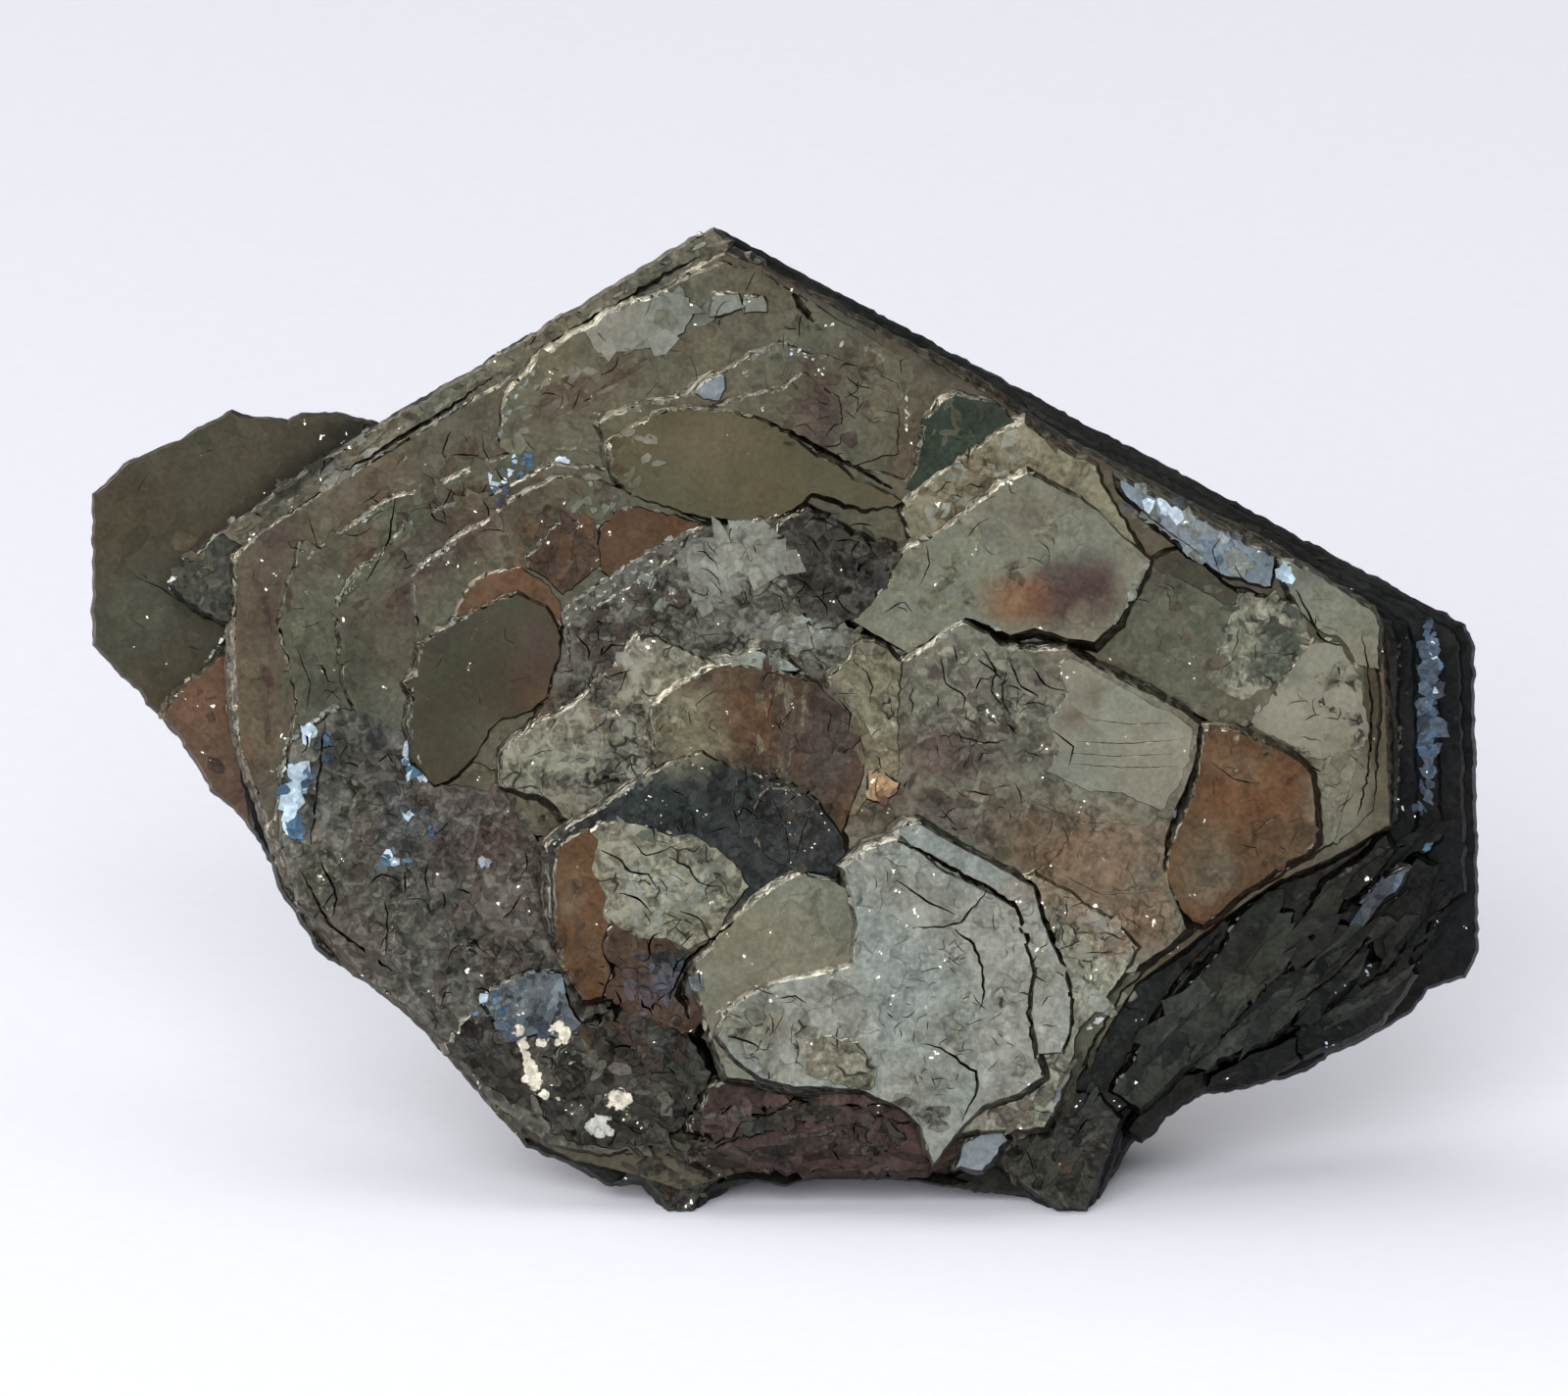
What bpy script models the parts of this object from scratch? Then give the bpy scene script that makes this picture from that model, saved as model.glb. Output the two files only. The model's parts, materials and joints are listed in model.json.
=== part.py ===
"""A hematite specimen: tabular crystals grown together into one stepped, leaning slab.

The slab is drawn lying on its back. u runs to the right, v up the face and w out of the face,
towards whoever looks at it. Every plate is an outline in (u, v), extruded from a back depth to a
front depth along w. The plates are joined into one solid, which leans back on two feet and a heel.
"""
import math

import bmesh
import bpy
from mathutils import Vector

MM = 0.001

# Driving dimensions, in millimetres and degrees.
LEAN = 13.0            # the face leans back from upright
FOOT_FRONT = 14.0      # w of the front edge of the feet, which sets the standing plane
DRUSE_FRONT = 16.8     # w of the rough lower left face, which carries the crumbs
CRUMB_GAP = 0.3        # clearance between a crumb and that face
BASE_CUT = 30.0        # depth of the block that trims the feet and the heel flat
BASE_BLOCK_SIDE = 200.0
WELD = 0.01            # drawn points closer than this are one point
HEMATITE_FINISH = {"colour": (0.11, 0.10, 0.08), "roughness": 0.3, "metallic": 1.0}
CREAM_FINISH = {"colour": (0.62, 0.58, 0.48), "roughness": 0.8, "metallic": 0.0}

# The growth layers under the face, from the back to the front. Each steps in from the layer
# behind it: `side` at the straight right edge and `slant` at the straight upper right edge.
RIM_LAYERS = (
    {"name": "rim_0", "back": -0.6, "front": 4.8, "side": 0.0, "slant": 0.0},
    {"name": "rim_1", "back": 4.0, "front": 7.4, "side": 1.0, "slant": 0.8},
    {"name": "rim_2", "back": 6.6, "front": 9.9, "side": 2.9, "slant": 1.5},
    {"name": "rim_3", "back": 9.1, "front": 12.1, "side": 4.5, "slant": 2.1},
    {"name": "rim_4", "back": 11.3, "front": 14.1, "side": 5.8, "slant": 2.7},
)
APEX = (-5.0, 70.4)
SHOULDER = (48.8, 41.9)
RIGHT_EDGE_U = 50.0
RIGHT_EDGE_TOP = 40.5
SHOULDER_INSET = 1.0   # the bevel between the two straight edges starts this far in from the right
BEVEL_INSET = 0.4      # and ends this far in

# The broken lower right corner of each rim layer, from the right edge down to the right foot.
BROKEN_CORNERS = (
    ((50.0, 18.2), (48.0, 15.7), (45.6, 14.4), (42.5, 12.2), (37.5, 9.5), (31.5, 8.0),
     (27.0, 6.2), (24.6, 4.0)),
    ((49.0, 22.5), (46.6, 20.6), (44.0, 16.0), (40.0, 12.6), (35.5, 10.2), (30.6, 8.6),
     (26.0, 6.0), (23.6, 2.6)),
    ((47.0, 26.4), (44.3, 24.0), (43.0, 19.0), (40.4, 15.6), (36.4, 12.6), (31.2, 10.0),
     (26.6, 7.2), (23.0, 1.4)),
    ((45.4, 27.2), (42.0, 23.2), (40.4, 17.6), (37.4, 14.4), (32.6, 12.0), (28.2, 9.0),
     (24.8, 6.2), (22.6, 0.2)),
    ((44.1, 27.6), (39.2, 23.6), (36.8, 18.2), (34.6, 15.2), (30.8, 12.4), (27.6, 9.6),
     (24.0, 6.6), (21.8, -0.6)),
)

# The bottom and the left of each rim layer, from the right foot round to the upper left edge.
LEFT_SIDES = (
    ((20.4, 4.2), (12.0, 4.2), (2.0, 4.0), (-5.0, 4.0), (-11.0, 4.8), (-19.0, 8.4), (-28.0, 17.4),
     (-33.8, 24.0), (-37.0, 33.0), (-37.6, 46.6), (-30.0, 52.4), (-14.0, 62.4)),
    ((19.8, 3.0), (12.0, 3.2), (2.0, 3.0), (-5.0, 2.8), (-11.6, 3.6), (-19.6, 7.8), (-28.6, 16.8),
     (-34.8, 24.2), (-38.0, 32.0), (-38.6, 46.4), (-31.0, 52.2), (-14.6, 62.8)),
    ((19.4, 1.0), (12.0, 2.4), (2.0, 2.6), (-4.2, 2.2), (-6.4, 1.0), (-9.2, 1.0), (-12.4, 2.6),
     (-20.0, 7.2), (-28.4, 15.6), (-35.2, 23.4), (-38.8, 30.6), (-39.4, 46.2), (-32.0, 52.4),
     (-15.4, 63.0)),
    ((19.0, 0.0), (13.5, 1.4), (8.0, 2.2), (2.0, 2.2), (-3.4, 1.8), (-6.2, -0.4), (-8.8, -0.4),
     (-10.6, 1.7), (-14.0, 2.0), (-20.4, 6.0), (-26.0, 12.8), (-32.0, 17.4), (-35.6, 22.2),
     (-38.4, 27.0), (-40.0, 31.0), (-40.2, 41.0), (-42.6, 44.6), (-38.0, 49.2), (-28.6, 55.6),
     (-15.4, 63.6)),
    ((19.2, -0.6), (17.0, 0.9), (13.5, 1.2), (8.0, 1.9), (2.0, 2.0), (-3.4, 1.6), (-6.4, -0.6),
     (-8.6, -0.6), (-10.4, 1.6), (-14.4, 2.2), (-20.3, 5.7), (-24.0, 10.9), (-30.0, 16.1),
     (-34.4, 19.4), (-36.8, 24.7), (-39.6, 28.4), (-40.6, 31.4), (-40.8, 41.3), (-44.4, 44.6),
     (-43.4, 46.2), (-38.6, 50.0), (-29.4, 56.2), (-20.0, 61.6), (-15.2, 64.4)),
)

# Plates in front of the rim layers and beside them: name, back depth, front depth, outline.
PLATES = (
    ("wing", 1.0, 5.8,
     ((-50.1, 40.3), (-50.1, 51.2), (-47.8, 53.4), (-40.0, 57.3), (-36.0, 56.6), (-32.5, 57.1),
      (-29.5, 56.4), (-26.0, 50.0), (-26.0, 30.0), (-37.4, 30.4), (-44.4, 34.2))),
    ("copper_ledge", 4.8, 10.6,
     ((-45.0, 35.2), (-44.2, 36.8), (-41.0, 39.2), (-39.0, 40.4), (-34.0, 38.0), (-34.0, 28.0),
      (-38.6, 28.2), (-42.0, 30.9))),
    ("face_plate", 13.2, 15.4,
     ((-39.6, 47.1), (-32.0, 52.7), (-24.0, 57.7), (-14.2, 63.2), (-4.4, 68.9), (-2.0, 67.6),
      (10.0, 60.6), (31.5, 48.6), (42.0, 43.0), (42.7, 41.0), (43.2, 27.4), (37.0, 24.6),
      (31.0, 20.5), (25.0, 15.8), (21.4, 9.6), (18.0, 4.6), (12.0, 2.6), (4.0, 2.9),
      (-2.6, 2.8), (-7.4, 1.2), (-11.0, 2.4), (-15.2, 3.4), (-21.4, 8.3), (-27.6, 14.6),
      (-34.2, 20.2), (-37.6, 26.4), (-39.4, 31.4), (-39.6, 40.0))),
    ("upper_plate", 14.6, 15.9,
     ((-20.4, 55.2), (-19.8, 58.4), (-17.0, 61.1), (-13.4, 62.9), (-7.6, 66.0), (-3.6, 67.8),
      (9.6, 60.1), (8.6, 52.0), (-12.0, 49.6))),
    ("terrace_1", 14.6, 16.0,
     ((-35.0, 33.0), (-36.2, 42.0), (-34.8, 47.4), (-31.0, 48.9), (-25.0, 51.6), (-18.4, 54.4),
      (-13.5, 56.1), (-8.7, 57.8), (-2.8, 60.9), (1.0, 59.6), (3.9, 57.6), (3.6, 53.4),
      (26.0, 46.6), (37.6, 41.2), (41.4, 38.6), (41.2, 33.0), (39.2, 26.2), (31.0, 21.4),
      (24.2, 15.8), (20.6, 9.4), (16.8, 4.6), (-4.0, 3.6), (-11.4, 4.2), (-20.4, 8.6),
      (-27.2, 15.2), (-33.6, 20.8), (-36.6, 27.0))),
    ("terrace_2", 15.2, 16.6,
     ((-31.5, 36.8), (-32.0, 43.5), (-29.0, 46.6), (-26.5, 49.2), (-21.0, 51.0), (-16.6, 53.2),
      (-11.6, 52.6), (0.0, 49.0), (8.0, 47.0), (26.0, 40.0), (38.6, 31.0), (37.0, 24.8),
      (28.6, 19.4), (22.6, 14.0), (19.4, 8.4), (-3.0, 4.6), (-13.0, 8.4), (-22.6, 14.6),
      (-28.4, 22.6))),
    ("terrace_3", 15.8, 17.1,
     ((-26.2, 40.2), (-26.5, 45.1), (-23.5, 48.0), (-19.5, 50.6), (-15.5, 52.4), (-6.0, 49.0),
      (-6.0, 36.0), (-20.0, 31.0), (-25.0, 33.0))),
    ("druse", 14.8, DRUSE_FRONT,
     ((-36.2, 31.0), (-35.3, 33.6), (-32.0, 36.0), (-27.3, 34.2), (-24.4, 30.6), (-17.0, 28.0),
      (-10.0, 14.0), (-8.6, 8.6), (-9.4, 4.8), (-13.4, 3.8), (-17.0, 4.8), (-20.4, 7.6),
      (-24.2, 12.6), (-30.2, 17.4), (-34.4, 22.0), (-36.0, 26.6))),
    ("olive_oval", 16.4, 17.8,
     ((-26.1, 40.2), (-24.5, 41.5), (-19.3, 43.9), (-17.2, 43.0), (-16.1, 40.0), (-17.2, 36.4),
      (-20.3, 35.1), (-22.9, 31.5), (-25.2, 30.2), (-26.6, 32.0), (-27.0, 36.6))),
    ("olive_lens", 15.4, 17.6,
     ((-12.5, 54.7), (-9.5, 56.6), (-6.0, 57.0), (-2.0, 56.3), (4.0, 52.8), (8.3, 50.5),
      (5.0, 50.0), (-2.0, 48.9), (-8.5, 50.0), (-12.0, 51.8))),
    ("top_right_band", 15.4, 16.9,
     ((8.3, 49.9), (11.0, 52.2), (15.5, 55.4), (17.0, 56.2), (22.0, 53.0), (26.6, 46.4),
      (10.0, 44.0))),
    ("centre_plate", 16.2, 17.6,
     ((-16.1, 42.8), (-11.0, 46.2), (-6.2, 48.7), (0.6, 49.6), (4.4, 41.6), (9.0, 39.6),
      (8.0, 30.0), (4.0, 22.0), (-14.0, 28.0), (-19.8, 31.2), (-17.4, 36.6))),
    ("sage_plate", 16.2, 18.0,
     ((4.8, 42.0), (7.7, 45.3), (8.4, 47.0), (13.1, 49.9), (17.2, 52.5), (22.3, 49.8),
      (26.0, 46.2), (23.0, 41.0), (20.0, 40.6), (12.8, 42.1), (8.8, 39.5))),
    ("right_plate", 16.2, 18.4,
     ((3.3, 38.1), (5.5, 40.4), (8.3, 39.0), (12.6, 41.7), (17.5, 39.8), (20.0, 40.0),
      (29.4, 34.9), (35.5, 32.6), (37.5, 31.0), (37.8, 26.3), (34.0, 23.5), (29.2, 20.2),
      (25.2, 17.4), (16.0, 16.0), (2.0, 24.0), (1.8, 33.0))),
    ("sage_shelf", 16.6, 18.2,
     ((-20.3, 32.7), (-15.2, 35.9), (-11.8, 39.0), (-10.0, 41.2), (-5.5, 39.0), (0.0, 38.2),
      (-3.0, 28.0), (-14.0, 26.0), (-20.4, 29.6))),
    ("copper_shelf", 17.2, 18.9,
     ((-9.5, 35.6), (-7.5, 37.4), (-4.0, 38.9), (2.3, 37.3), (5.0, 34.9), (5.5, 31.0),
      (2.6, 24.0), (-9.0, 24.0))),
    ("slate_plate", 16.4, 19.4,
     ((-17.1, 25.8), (-13.7, 28.4), (-8.5, 31.8), (-5.0, 32.0), (2.0, 29.3), (4.2, 25.6),
      (3.6, 20.0), (-4.0, 12.0), (-11.0, 13.4), (-14.6, 14.6), (-16.8, 20.0))),
    ("flake_shelf", 17.6, 19.3,
     ((17.6, 23.8), (21.0, 22.2), (25.1, 18.7), (22.4, 14.4), (18.0, 9.0), (12.0, 6.0),
      (8.0, 20.0))),
    ("front_plate", 16.6, 20.0,
     ((-6.5, 17.6), (-4.2, 20.2), (0.8, 23.9), (6.0, 22.0), (9.0, 9.0), (5.8, 8.0), (0.0, 8.6),
      (-3.8, 8.6), (-6.0, 12.0))),
    ("white_plate", 17.8, 20.6,
     ((4.0, 24.4), (8.5, 27.2), (12.5, 25.3), (17.4, 22.3), (18.4, 18.8), (19.8, 15.0),
      (19.2, 11.0), (16.5, 8.3), (13.6, 6.6), (10.5, 3.4), (8.4, 7.0), (4.6, 9.6))),
    ("brown_sill", 14.6, 17.4,
     ((-6.4, 3.4), (-4.0, 7.0), (1.0, 9.4), (6.0, 9.0), (9.6, 6.4), (13.8, 7.0), (15.4, 4.6),
      (9.6, 2.8), (-2.0, 2.6))),
    ("back_ledge", -2.8, 0.4,
     ((-24.0, 16.0), (-10.0, 6.4), (8.0, 4.6), (22.0, 7.0), (34.0, 14.6), (42.4, 26.0),
      (38.6, 41.0), (22.0, 50.0), (4.0, 58.0), (-12.0, 56.4), (-25.0, 46.4), (-31.0, 32.0))),
    ("back_boss", -5.4, -2.0,
     ((-14.0, 15.0), (1.0, 8.0), (17.0, 10.0), (27.0, 18.0), (30.0, 28.0), (22.0, 38.0),
      (8.0, 46.0), (-7.0, 44.6), (-17.0, 36.0), (-20.0, 24.0))),
    ("heel", -4.4, 6.0,
     ((-7.0, 6.6), (-5.4, 0.6), (4.0, -0.4), (15.6, 0.6), (18.6, 6.0), (13.0, 13.0), (-2.0, 13.0))),
)

CRUMB_BALL_RADIUS = 0.5    # a ball one across, stretched to each crumb's size

# Cream crumbs caught on the druse: name, face place (u, v), size (length, width, height), turn.
CRUMBS = (
    ("crumb_streak", (-18.4, 10.6), (4.9, 1.1, 0.9), 104.0),
    ("crumb_ring", (-16.7, 12.5), (1.8, 1.2, 0.9), 20.0),
    ("crumb_bright", (-12.0, 7.9), (1.5, 1.1, 0.9), 15.0),
    ("crumb_grey", (-13.4, 6.0), (1.4, 1.1, 0.8), -20.0),
)


def new_collection(name):
    """Return a collection, linked to the scene."""
    collection = bpy.data.collections.new(name)
    bpy.context.scene.collection.children.link(collection)
    return collection


def finish(name, colour, roughness, metallic):
    """Return a plain Principled material."""
    material = bpy.data.materials.new(name)
    material.use_nodes = True
    shader = material.node_tree.nodes["Principled BSDF"]
    shader.inputs["Base Color"].default_value = (*colour, 1.0)
    shader.inputs["Roughness"].default_value = roughness
    shader.inputs["Metallic"].default_value = metallic
    return material


def rim_outline(layer, corner, left_side):
    """Return a growth layer's outline, stepped in along its two straight crystal edges."""
    edge = (Vector(SHOULDER) - Vector(APEX)).normalized()
    inward = Vector((edge.y, -edge.x)) * layer["slant"]
    apex = Vector(APEX) + inward
    side_u = RIGHT_EDGE_U - layer["side"]
    shoulder = apex + edge * ((side_u - SHOULDER_INSET - apex.x) / edge.x)
    return ((*apex,), (*shoulder,), (side_u - BEVEL_INSET, RIGHT_EDGE_TOP), *corner, *left_side)


def plate_solid(name, outline, back, front, root, collection):
    """Return a plate: its outline extruded from the back depth to the front depth."""
    curve = bpy.data.curves.new(name, "CURVE")
    curve.dimensions = "2D"
    curve.fill_mode = "BOTH"
    curve.extrude = (front - back) / 2 * MM
    spline = curve.splines.new("POLY")
    spline.points.add(len(outline) - 1)
    for point, (u, v) in zip(spline.points, outline):
        point.co = (u * MM, v * MM, 0.0, 1.0)
    spline.use_cyclic_u = True
    drawn = bpy.data.objects.new(name, curve)
    drawn.location.z = (front + back) / 2 * MM
    drawn.parent = root
    bpy.context.scene.collection.objects.link(drawn)
    return as_mesh(drawn, root, collection)


def as_mesh(drawn, root, collection):
    """Turn a drawn curve into a welded mesh object in the same place."""
    graph = bpy.context.evaluated_depsgraph_get()
    mesh = bpy.data.meshes.new_from_object(drawn.evaluated_get(graph))
    soup = bmesh.new()
    soup.from_mesh(mesh)
    bmesh.ops.remove_doubles(soup, verts=soup.verts, dist=WELD * MM)
    bmesh.ops.recalc_face_normals(soup, faces=soup.faces)
    soup.to_mesh(mesh)
    soup.free()
    name = drawn.name
    place = drawn.matrix_world.copy()
    curve = drawn.data
    bpy.data.objects.remove(drawn)
    bpy.data.curves.remove(curve)
    solid = bpy.data.objects.new(name, mesh)
    collection.objects.link(solid)
    solid.parent = root
    solid.matrix_world = place
    return solid


def move_to(thing, collection):
    """Keep an object in this one collection."""
    for home in tuple(thing.users_collection):
        home.objects.unlink(thing)
    collection.objects.link(thing)


def as_guide(thing):
    """Mark an object as one that only shapes others."""
    thing.hide_render = True
    thing.display_type = "WIRE"


def base_block(collection):
    """Return the block that trims everything under the standing plane."""
    bpy.ops.mesh.primitive_cube_add(size=1.0)
    block = bpy.context.object
    block.name = "base_block"
    block.scale = Vector((BASE_BLOCK_SIDE, BASE_BLOCK_SIDE, BASE_CUT)) * MM
    block.location.z = -BASE_CUT / 2 * MM
    move_to(block, collection)
    as_guide(block)
    return block


def hematite(root, parts, cutters):
    """Join the plates into the one intergrown solid and trim its standing surfaces."""
    layers = zip(RIM_LAYERS, BROKEN_CORNERS, LEFT_SIDES)
    drawn = [(layer["name"], layer["back"], layer["front"], rim_outline(layer, corner, left))
             for layer, corner, left in layers]
    drawn.extend(PLATES)
    joined = new_collection("plates to join")
    for name, back, front, outline in drawn[1:]:
        as_guide(plate_solid(name, outline, back, front, root, joined))
    name, back, front, outline = drawn[0]
    body = plate_solid(name, outline, back, front, root, parts)
    body.name = "hematite"
    join = body.modifiers.new("join plates", "BOOLEAN")
    join.operation = "UNION"
    join.solver = "EXACT"
    join.operand_type = "COLLECTION"
    join.collection = joined
    trim = body.modifiers.new("trim base", "BOOLEAN")
    trim.operation = "DIFFERENCE"
    trim.solver = "EXACT"
    trim.object = base_block(cutters)
    body.data.materials.append(finish("hematite", **HEMATITE_FINISH))
    return body


def crumb(name, place, size, turn, root, collection, material):
    """Add one pale crumb, a faceted pebble lying just clear of the plate behind it."""
    bpy.ops.mesh.primitive_ico_sphere_add(subdivisions=2, radius=CRUMB_BALL_RADIUS)
    pebble = bpy.context.object
    pebble.name = name
    pebble.parent = root
    pebble.location = Vector((*place, DRUSE_FRONT + CRUMB_GAP + size[2] / 2)) * MM
    pebble.rotation_euler.z = math.radians(turn)
    pebble.scale = Vector(size) * MM
    pebble.data.materials.append(material)
    move_to(pebble, collection)


def centre_on_origin(root, body):
    """Slide the leaning stack so that the middle of its footprint's box is at the origin."""
    graph = bpy.context.evaluated_depsgraph_get()
    standing = body.evaluated_get(graph)
    corners = [body.matrix_world @ vertex.co for vertex in standing.data.vertices]
    for axis in (0, 1):
        reach = [corner[axis] for corner in corners]
        root.location[axis] -= (min(reach) + max(reach)) / 2


def main():
    for thing in list(bpy.data.objects):
        bpy.data.objects.remove(thing)
    parts = new_collection("hematite specimen")
    cutters = new_collection("cutters")
    root = bpy.data.objects.new("lean", None)
    root.rotation_euler.x = math.radians(90.0 - LEAN)
    root.location.z = -FOOT_FRONT * math.sin(math.radians(LEAN)) * MM
    bpy.context.scene.collection.objects.link(root)
    bpy.context.view_layer.update()
    body = hematite(root, parts, cutters)
    centre_on_origin(root, body)
    cream = finish("cream crumb", **CREAM_FINISH)
    for name, place, size, turn in CRUMBS:
        crumb(name, place, size, turn, root, parts, cream)


main()
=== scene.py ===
"""A hematite specimen: the finished surface of its intergrown plates, and the crumbs on them.

Places on the slab are in face millimetres: u to the right, v up the face and w out of it.
"""
import json
import math
from collections import namedtuple

import bmesh
import bpy
import numpy as np
from mathutils import Matrix, Vector, kdtree, noise
from mathutils.geometry import delaunay_2d_cdt

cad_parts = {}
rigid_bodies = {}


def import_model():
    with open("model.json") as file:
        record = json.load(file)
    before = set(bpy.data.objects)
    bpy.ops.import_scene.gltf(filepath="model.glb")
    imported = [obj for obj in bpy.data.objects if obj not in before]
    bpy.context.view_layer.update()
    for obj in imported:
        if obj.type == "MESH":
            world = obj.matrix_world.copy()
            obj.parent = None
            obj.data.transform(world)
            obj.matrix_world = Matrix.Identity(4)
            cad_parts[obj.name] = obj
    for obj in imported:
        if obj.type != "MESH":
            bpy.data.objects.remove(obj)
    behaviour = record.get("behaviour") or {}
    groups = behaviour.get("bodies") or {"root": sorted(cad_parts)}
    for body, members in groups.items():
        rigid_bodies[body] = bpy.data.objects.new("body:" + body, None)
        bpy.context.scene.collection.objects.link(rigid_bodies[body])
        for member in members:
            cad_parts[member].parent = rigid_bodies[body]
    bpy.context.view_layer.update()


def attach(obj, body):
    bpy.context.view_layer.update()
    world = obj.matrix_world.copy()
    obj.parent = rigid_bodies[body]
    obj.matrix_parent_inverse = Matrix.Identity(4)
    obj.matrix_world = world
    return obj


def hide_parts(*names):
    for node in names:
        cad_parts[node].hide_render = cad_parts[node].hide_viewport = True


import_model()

MM = 0.001
LEAN = math.radians(13.0)
SLAB_SHIFT = (0.05, 1.443)          # the slab's drawing origin in the row frame, in millimetres
FOOT_FRONT = 14.0                   # w of the feet's front edge, which stands on the floor
FACE = (Matrix.Translation(Vector((*SLAB_SHIFT, -FOOT_FRONT * math.sin(LEAN))) * MM)
        @ Matrix.Rotation(math.pi / 2 - LEAN, 4, "X"))

# ---------------------------------------------------------------- camera, light and floor

CAMERA_DISTANCE = 1500.0            # millimetres from the face
AIM = (-0.18, 36.48, 14.0)          # the face point in the middle of the picture
FIELD_WIDTH = 112.3                 # millimetres of the face across the picture
SENSOR_WIDTH = 36.0                 # millimetres


def face_point(u, v, w):
    """Return the row-frame place of a face point."""
    return FACE @ (Vector((u, v, w)) * MM)


def stand_camera():
    """Look at the face square on."""
    lens = bpy.data.cameras.new("camera")
    lens.sensor_width = SENSOR_WIDTH
    lens.lens = SENSOR_WIDTH * CAMERA_DISTANCE / FIELD_WIDTH
    camera = bpy.data.objects.new("camera", lens)
    camera.location = face_point(AIM[0], AIM[1], AIM[2] + CAMERA_DISTANCE)
    camera.rotation_euler.x = math.pi / 2 - LEAN
    bpy.context.scene.collection.objects.link(camera)
    bpy.context.scene.camera = camera


def soft_box(name, place, target, side, watts, colour):
    """Hang one square soft light that no camera sees."""
    lamp = bpy.data.lights.new(name, "AREA")
    lamp.size = side
    lamp.energy = watts
    lamp.color = colour
    box = bpy.data.objects.new(name, lamp)
    box.location = place
    box.rotation_euler = (Vector(target) - Vector(place)).to_track_quat("-Z", "Y").to_euler()
    box.visible_camera = False
    bpy.context.scene.collection.objects.link(box)
    return box


# ---------------------------------------------------------------- shader expressions


class Wire:
    """A shader socket that can stand in a Python expression."""

    def __init__(self, tree, socket=None):
        self.tree = tree
        self.socket = socket

    def node(self, kind, settings=None, inputs=None, output=0):
        """Add a node: its settings first, then its sockets' values or links."""
        made = self.tree.nodes.new(kind)
        for name, value in (settings or {}).items():
            if name == "stops":
                for stop, (place, colour) in zip(made.color_ramp.elements, value):
                    stop.position = place
                    stop.color = colour
            else:
                setattr(made, name, value)
        for name, value in (inputs or {}).items():
            if isinstance(value, Wire):
                self.tree.links.new(value.socket, made.inputs[name])
            else:
                made.inputs[name].default_value = value
        return Wire(self.tree, made.outputs[output])

    def output(self, number):
        """Return another output of the node that this socket is on."""
        return Wire(self.tree, self.socket.node.outputs[number])

    def maths(self, operation, *values):
        return self.node("ShaderNodeMath", {"operation": operation}, dict(enumerate(values)))

    def __add__(self, other):
        return self.maths("ADD", self, other)

    __radd__ = __add__

    def __sub__(self, other):
        return self.maths("SUBTRACT", self, other)

    def __rsub__(self, other):
        return self.maths("SUBTRACT", other, self)

    def __mul__(self, other):
        return self.maths("MULTIPLY", self, other)

    __rmul__ = __mul__

    def between(self, low, high, start=0.0, end=1.0):
        """Return this value spread smoothly from low..high to start..end, and held outside."""
        return self.node("ShaderNodeMapRange", {"interpolation_type": "SMOOTHSTEP"},
                         {"Value": self, "From Min": low, "From Max": high,
                          "To Min": start, "To Max": end})

    def mix(self, other, amount):
        """Return this colour mixed with another."""
        return self.node("ShaderNodeMix", {"data_type": "RGBA"},
                         {0: amount, 6: self, 7: other}, 2)

    def tinted(self, other):
        """Return this colour multiplied by another."""
        return self.node("ShaderNodeMix", {"data_type": "RGBA", "blend_type": "MULTIPLY"},
                         {0: 1.0, 6: self, 7: other}, 2)

    def scaled(self, amount):
        """Return this colour or vector made stronger or weaker."""
        return self.node("ShaderNodeVectorMath", {"operation": "SCALE"},
                         {0: self, "Scale": amount})

    def moved(self, other, scale):
        """Return this vector with another, scaled, added to it."""
        return self.node("ShaderNodeVectorMath", {"operation": "MULTIPLY_ADD"},
                         {0: other, 1: (scale, scale, scale), 2: self})

    def first(self):
        """Return the first part of a colour or vector."""
        return self.node("ShaderNodeSeparateXYZ", {}, {0: self})


def grain(place, scale, detail=2.0, roughness=0.5, output=0):
    """Return smooth noise from 0 to 1, scale in waves a metre."""
    return place.node("ShaderNodeTexNoise", {"noise_dimensions": "3D"},
                      {"Vector": place, "Scale": scale, "Detail": detail, "Roughness": roughness},
                      output)


def scatter(place, scale, feature="F1", output=0):
    """Return a cell pattern's distance or colour, scale in cells a metre."""
    return place.node("ShaderNodeTexVoronoi", {"feature": feature},
                      {"Vector": place, "Scale": scale}, output)


def new_finish(name):
    """Return a material, its Principled node and a wire to build on."""
    material = bpy.data.materials.new(name)
    material.use_nodes = True
    tree = material.node_tree
    return material, tree.nodes["Principled BSDF"], Wire(tree)


def feed(shader, name, value):
    """Link or set one of the shader's own sockets."""
    if isinstance(value, Wire):
        value.tree.links.new(value.socket, shader.inputs[name])
    else:
        shader.inputs[name].default_value = value


def bump(height, distance):
    """Return a normal raised by a height from 0 to 1, the distance in metres."""
    return height.node("ShaderNodeBump", {}, {"Height": height, "Distance": distance})


CRACK_COLOUR = (0.018, 0.016, 0.013, 1.0)
DUST_COLOUR = (0.55, 0.55, 0.50, 1.0)
WARM = (1.06, 0.985, 0.92, 1.0)     # what the tarnish's tint is multiplied by, here and there
COOL = (0.96, 1.01, 1.01, 1.0)
GRAZING = (0.6, 0.6, 0.6, 1.0)      # tarnish mirrors little, even edge on
PAPER_DARK = (0.344, 0.343, 0.371, 1.0)
PAPER_LIGHT = (0.351, 0.350, 0.378, 1.0)

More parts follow.
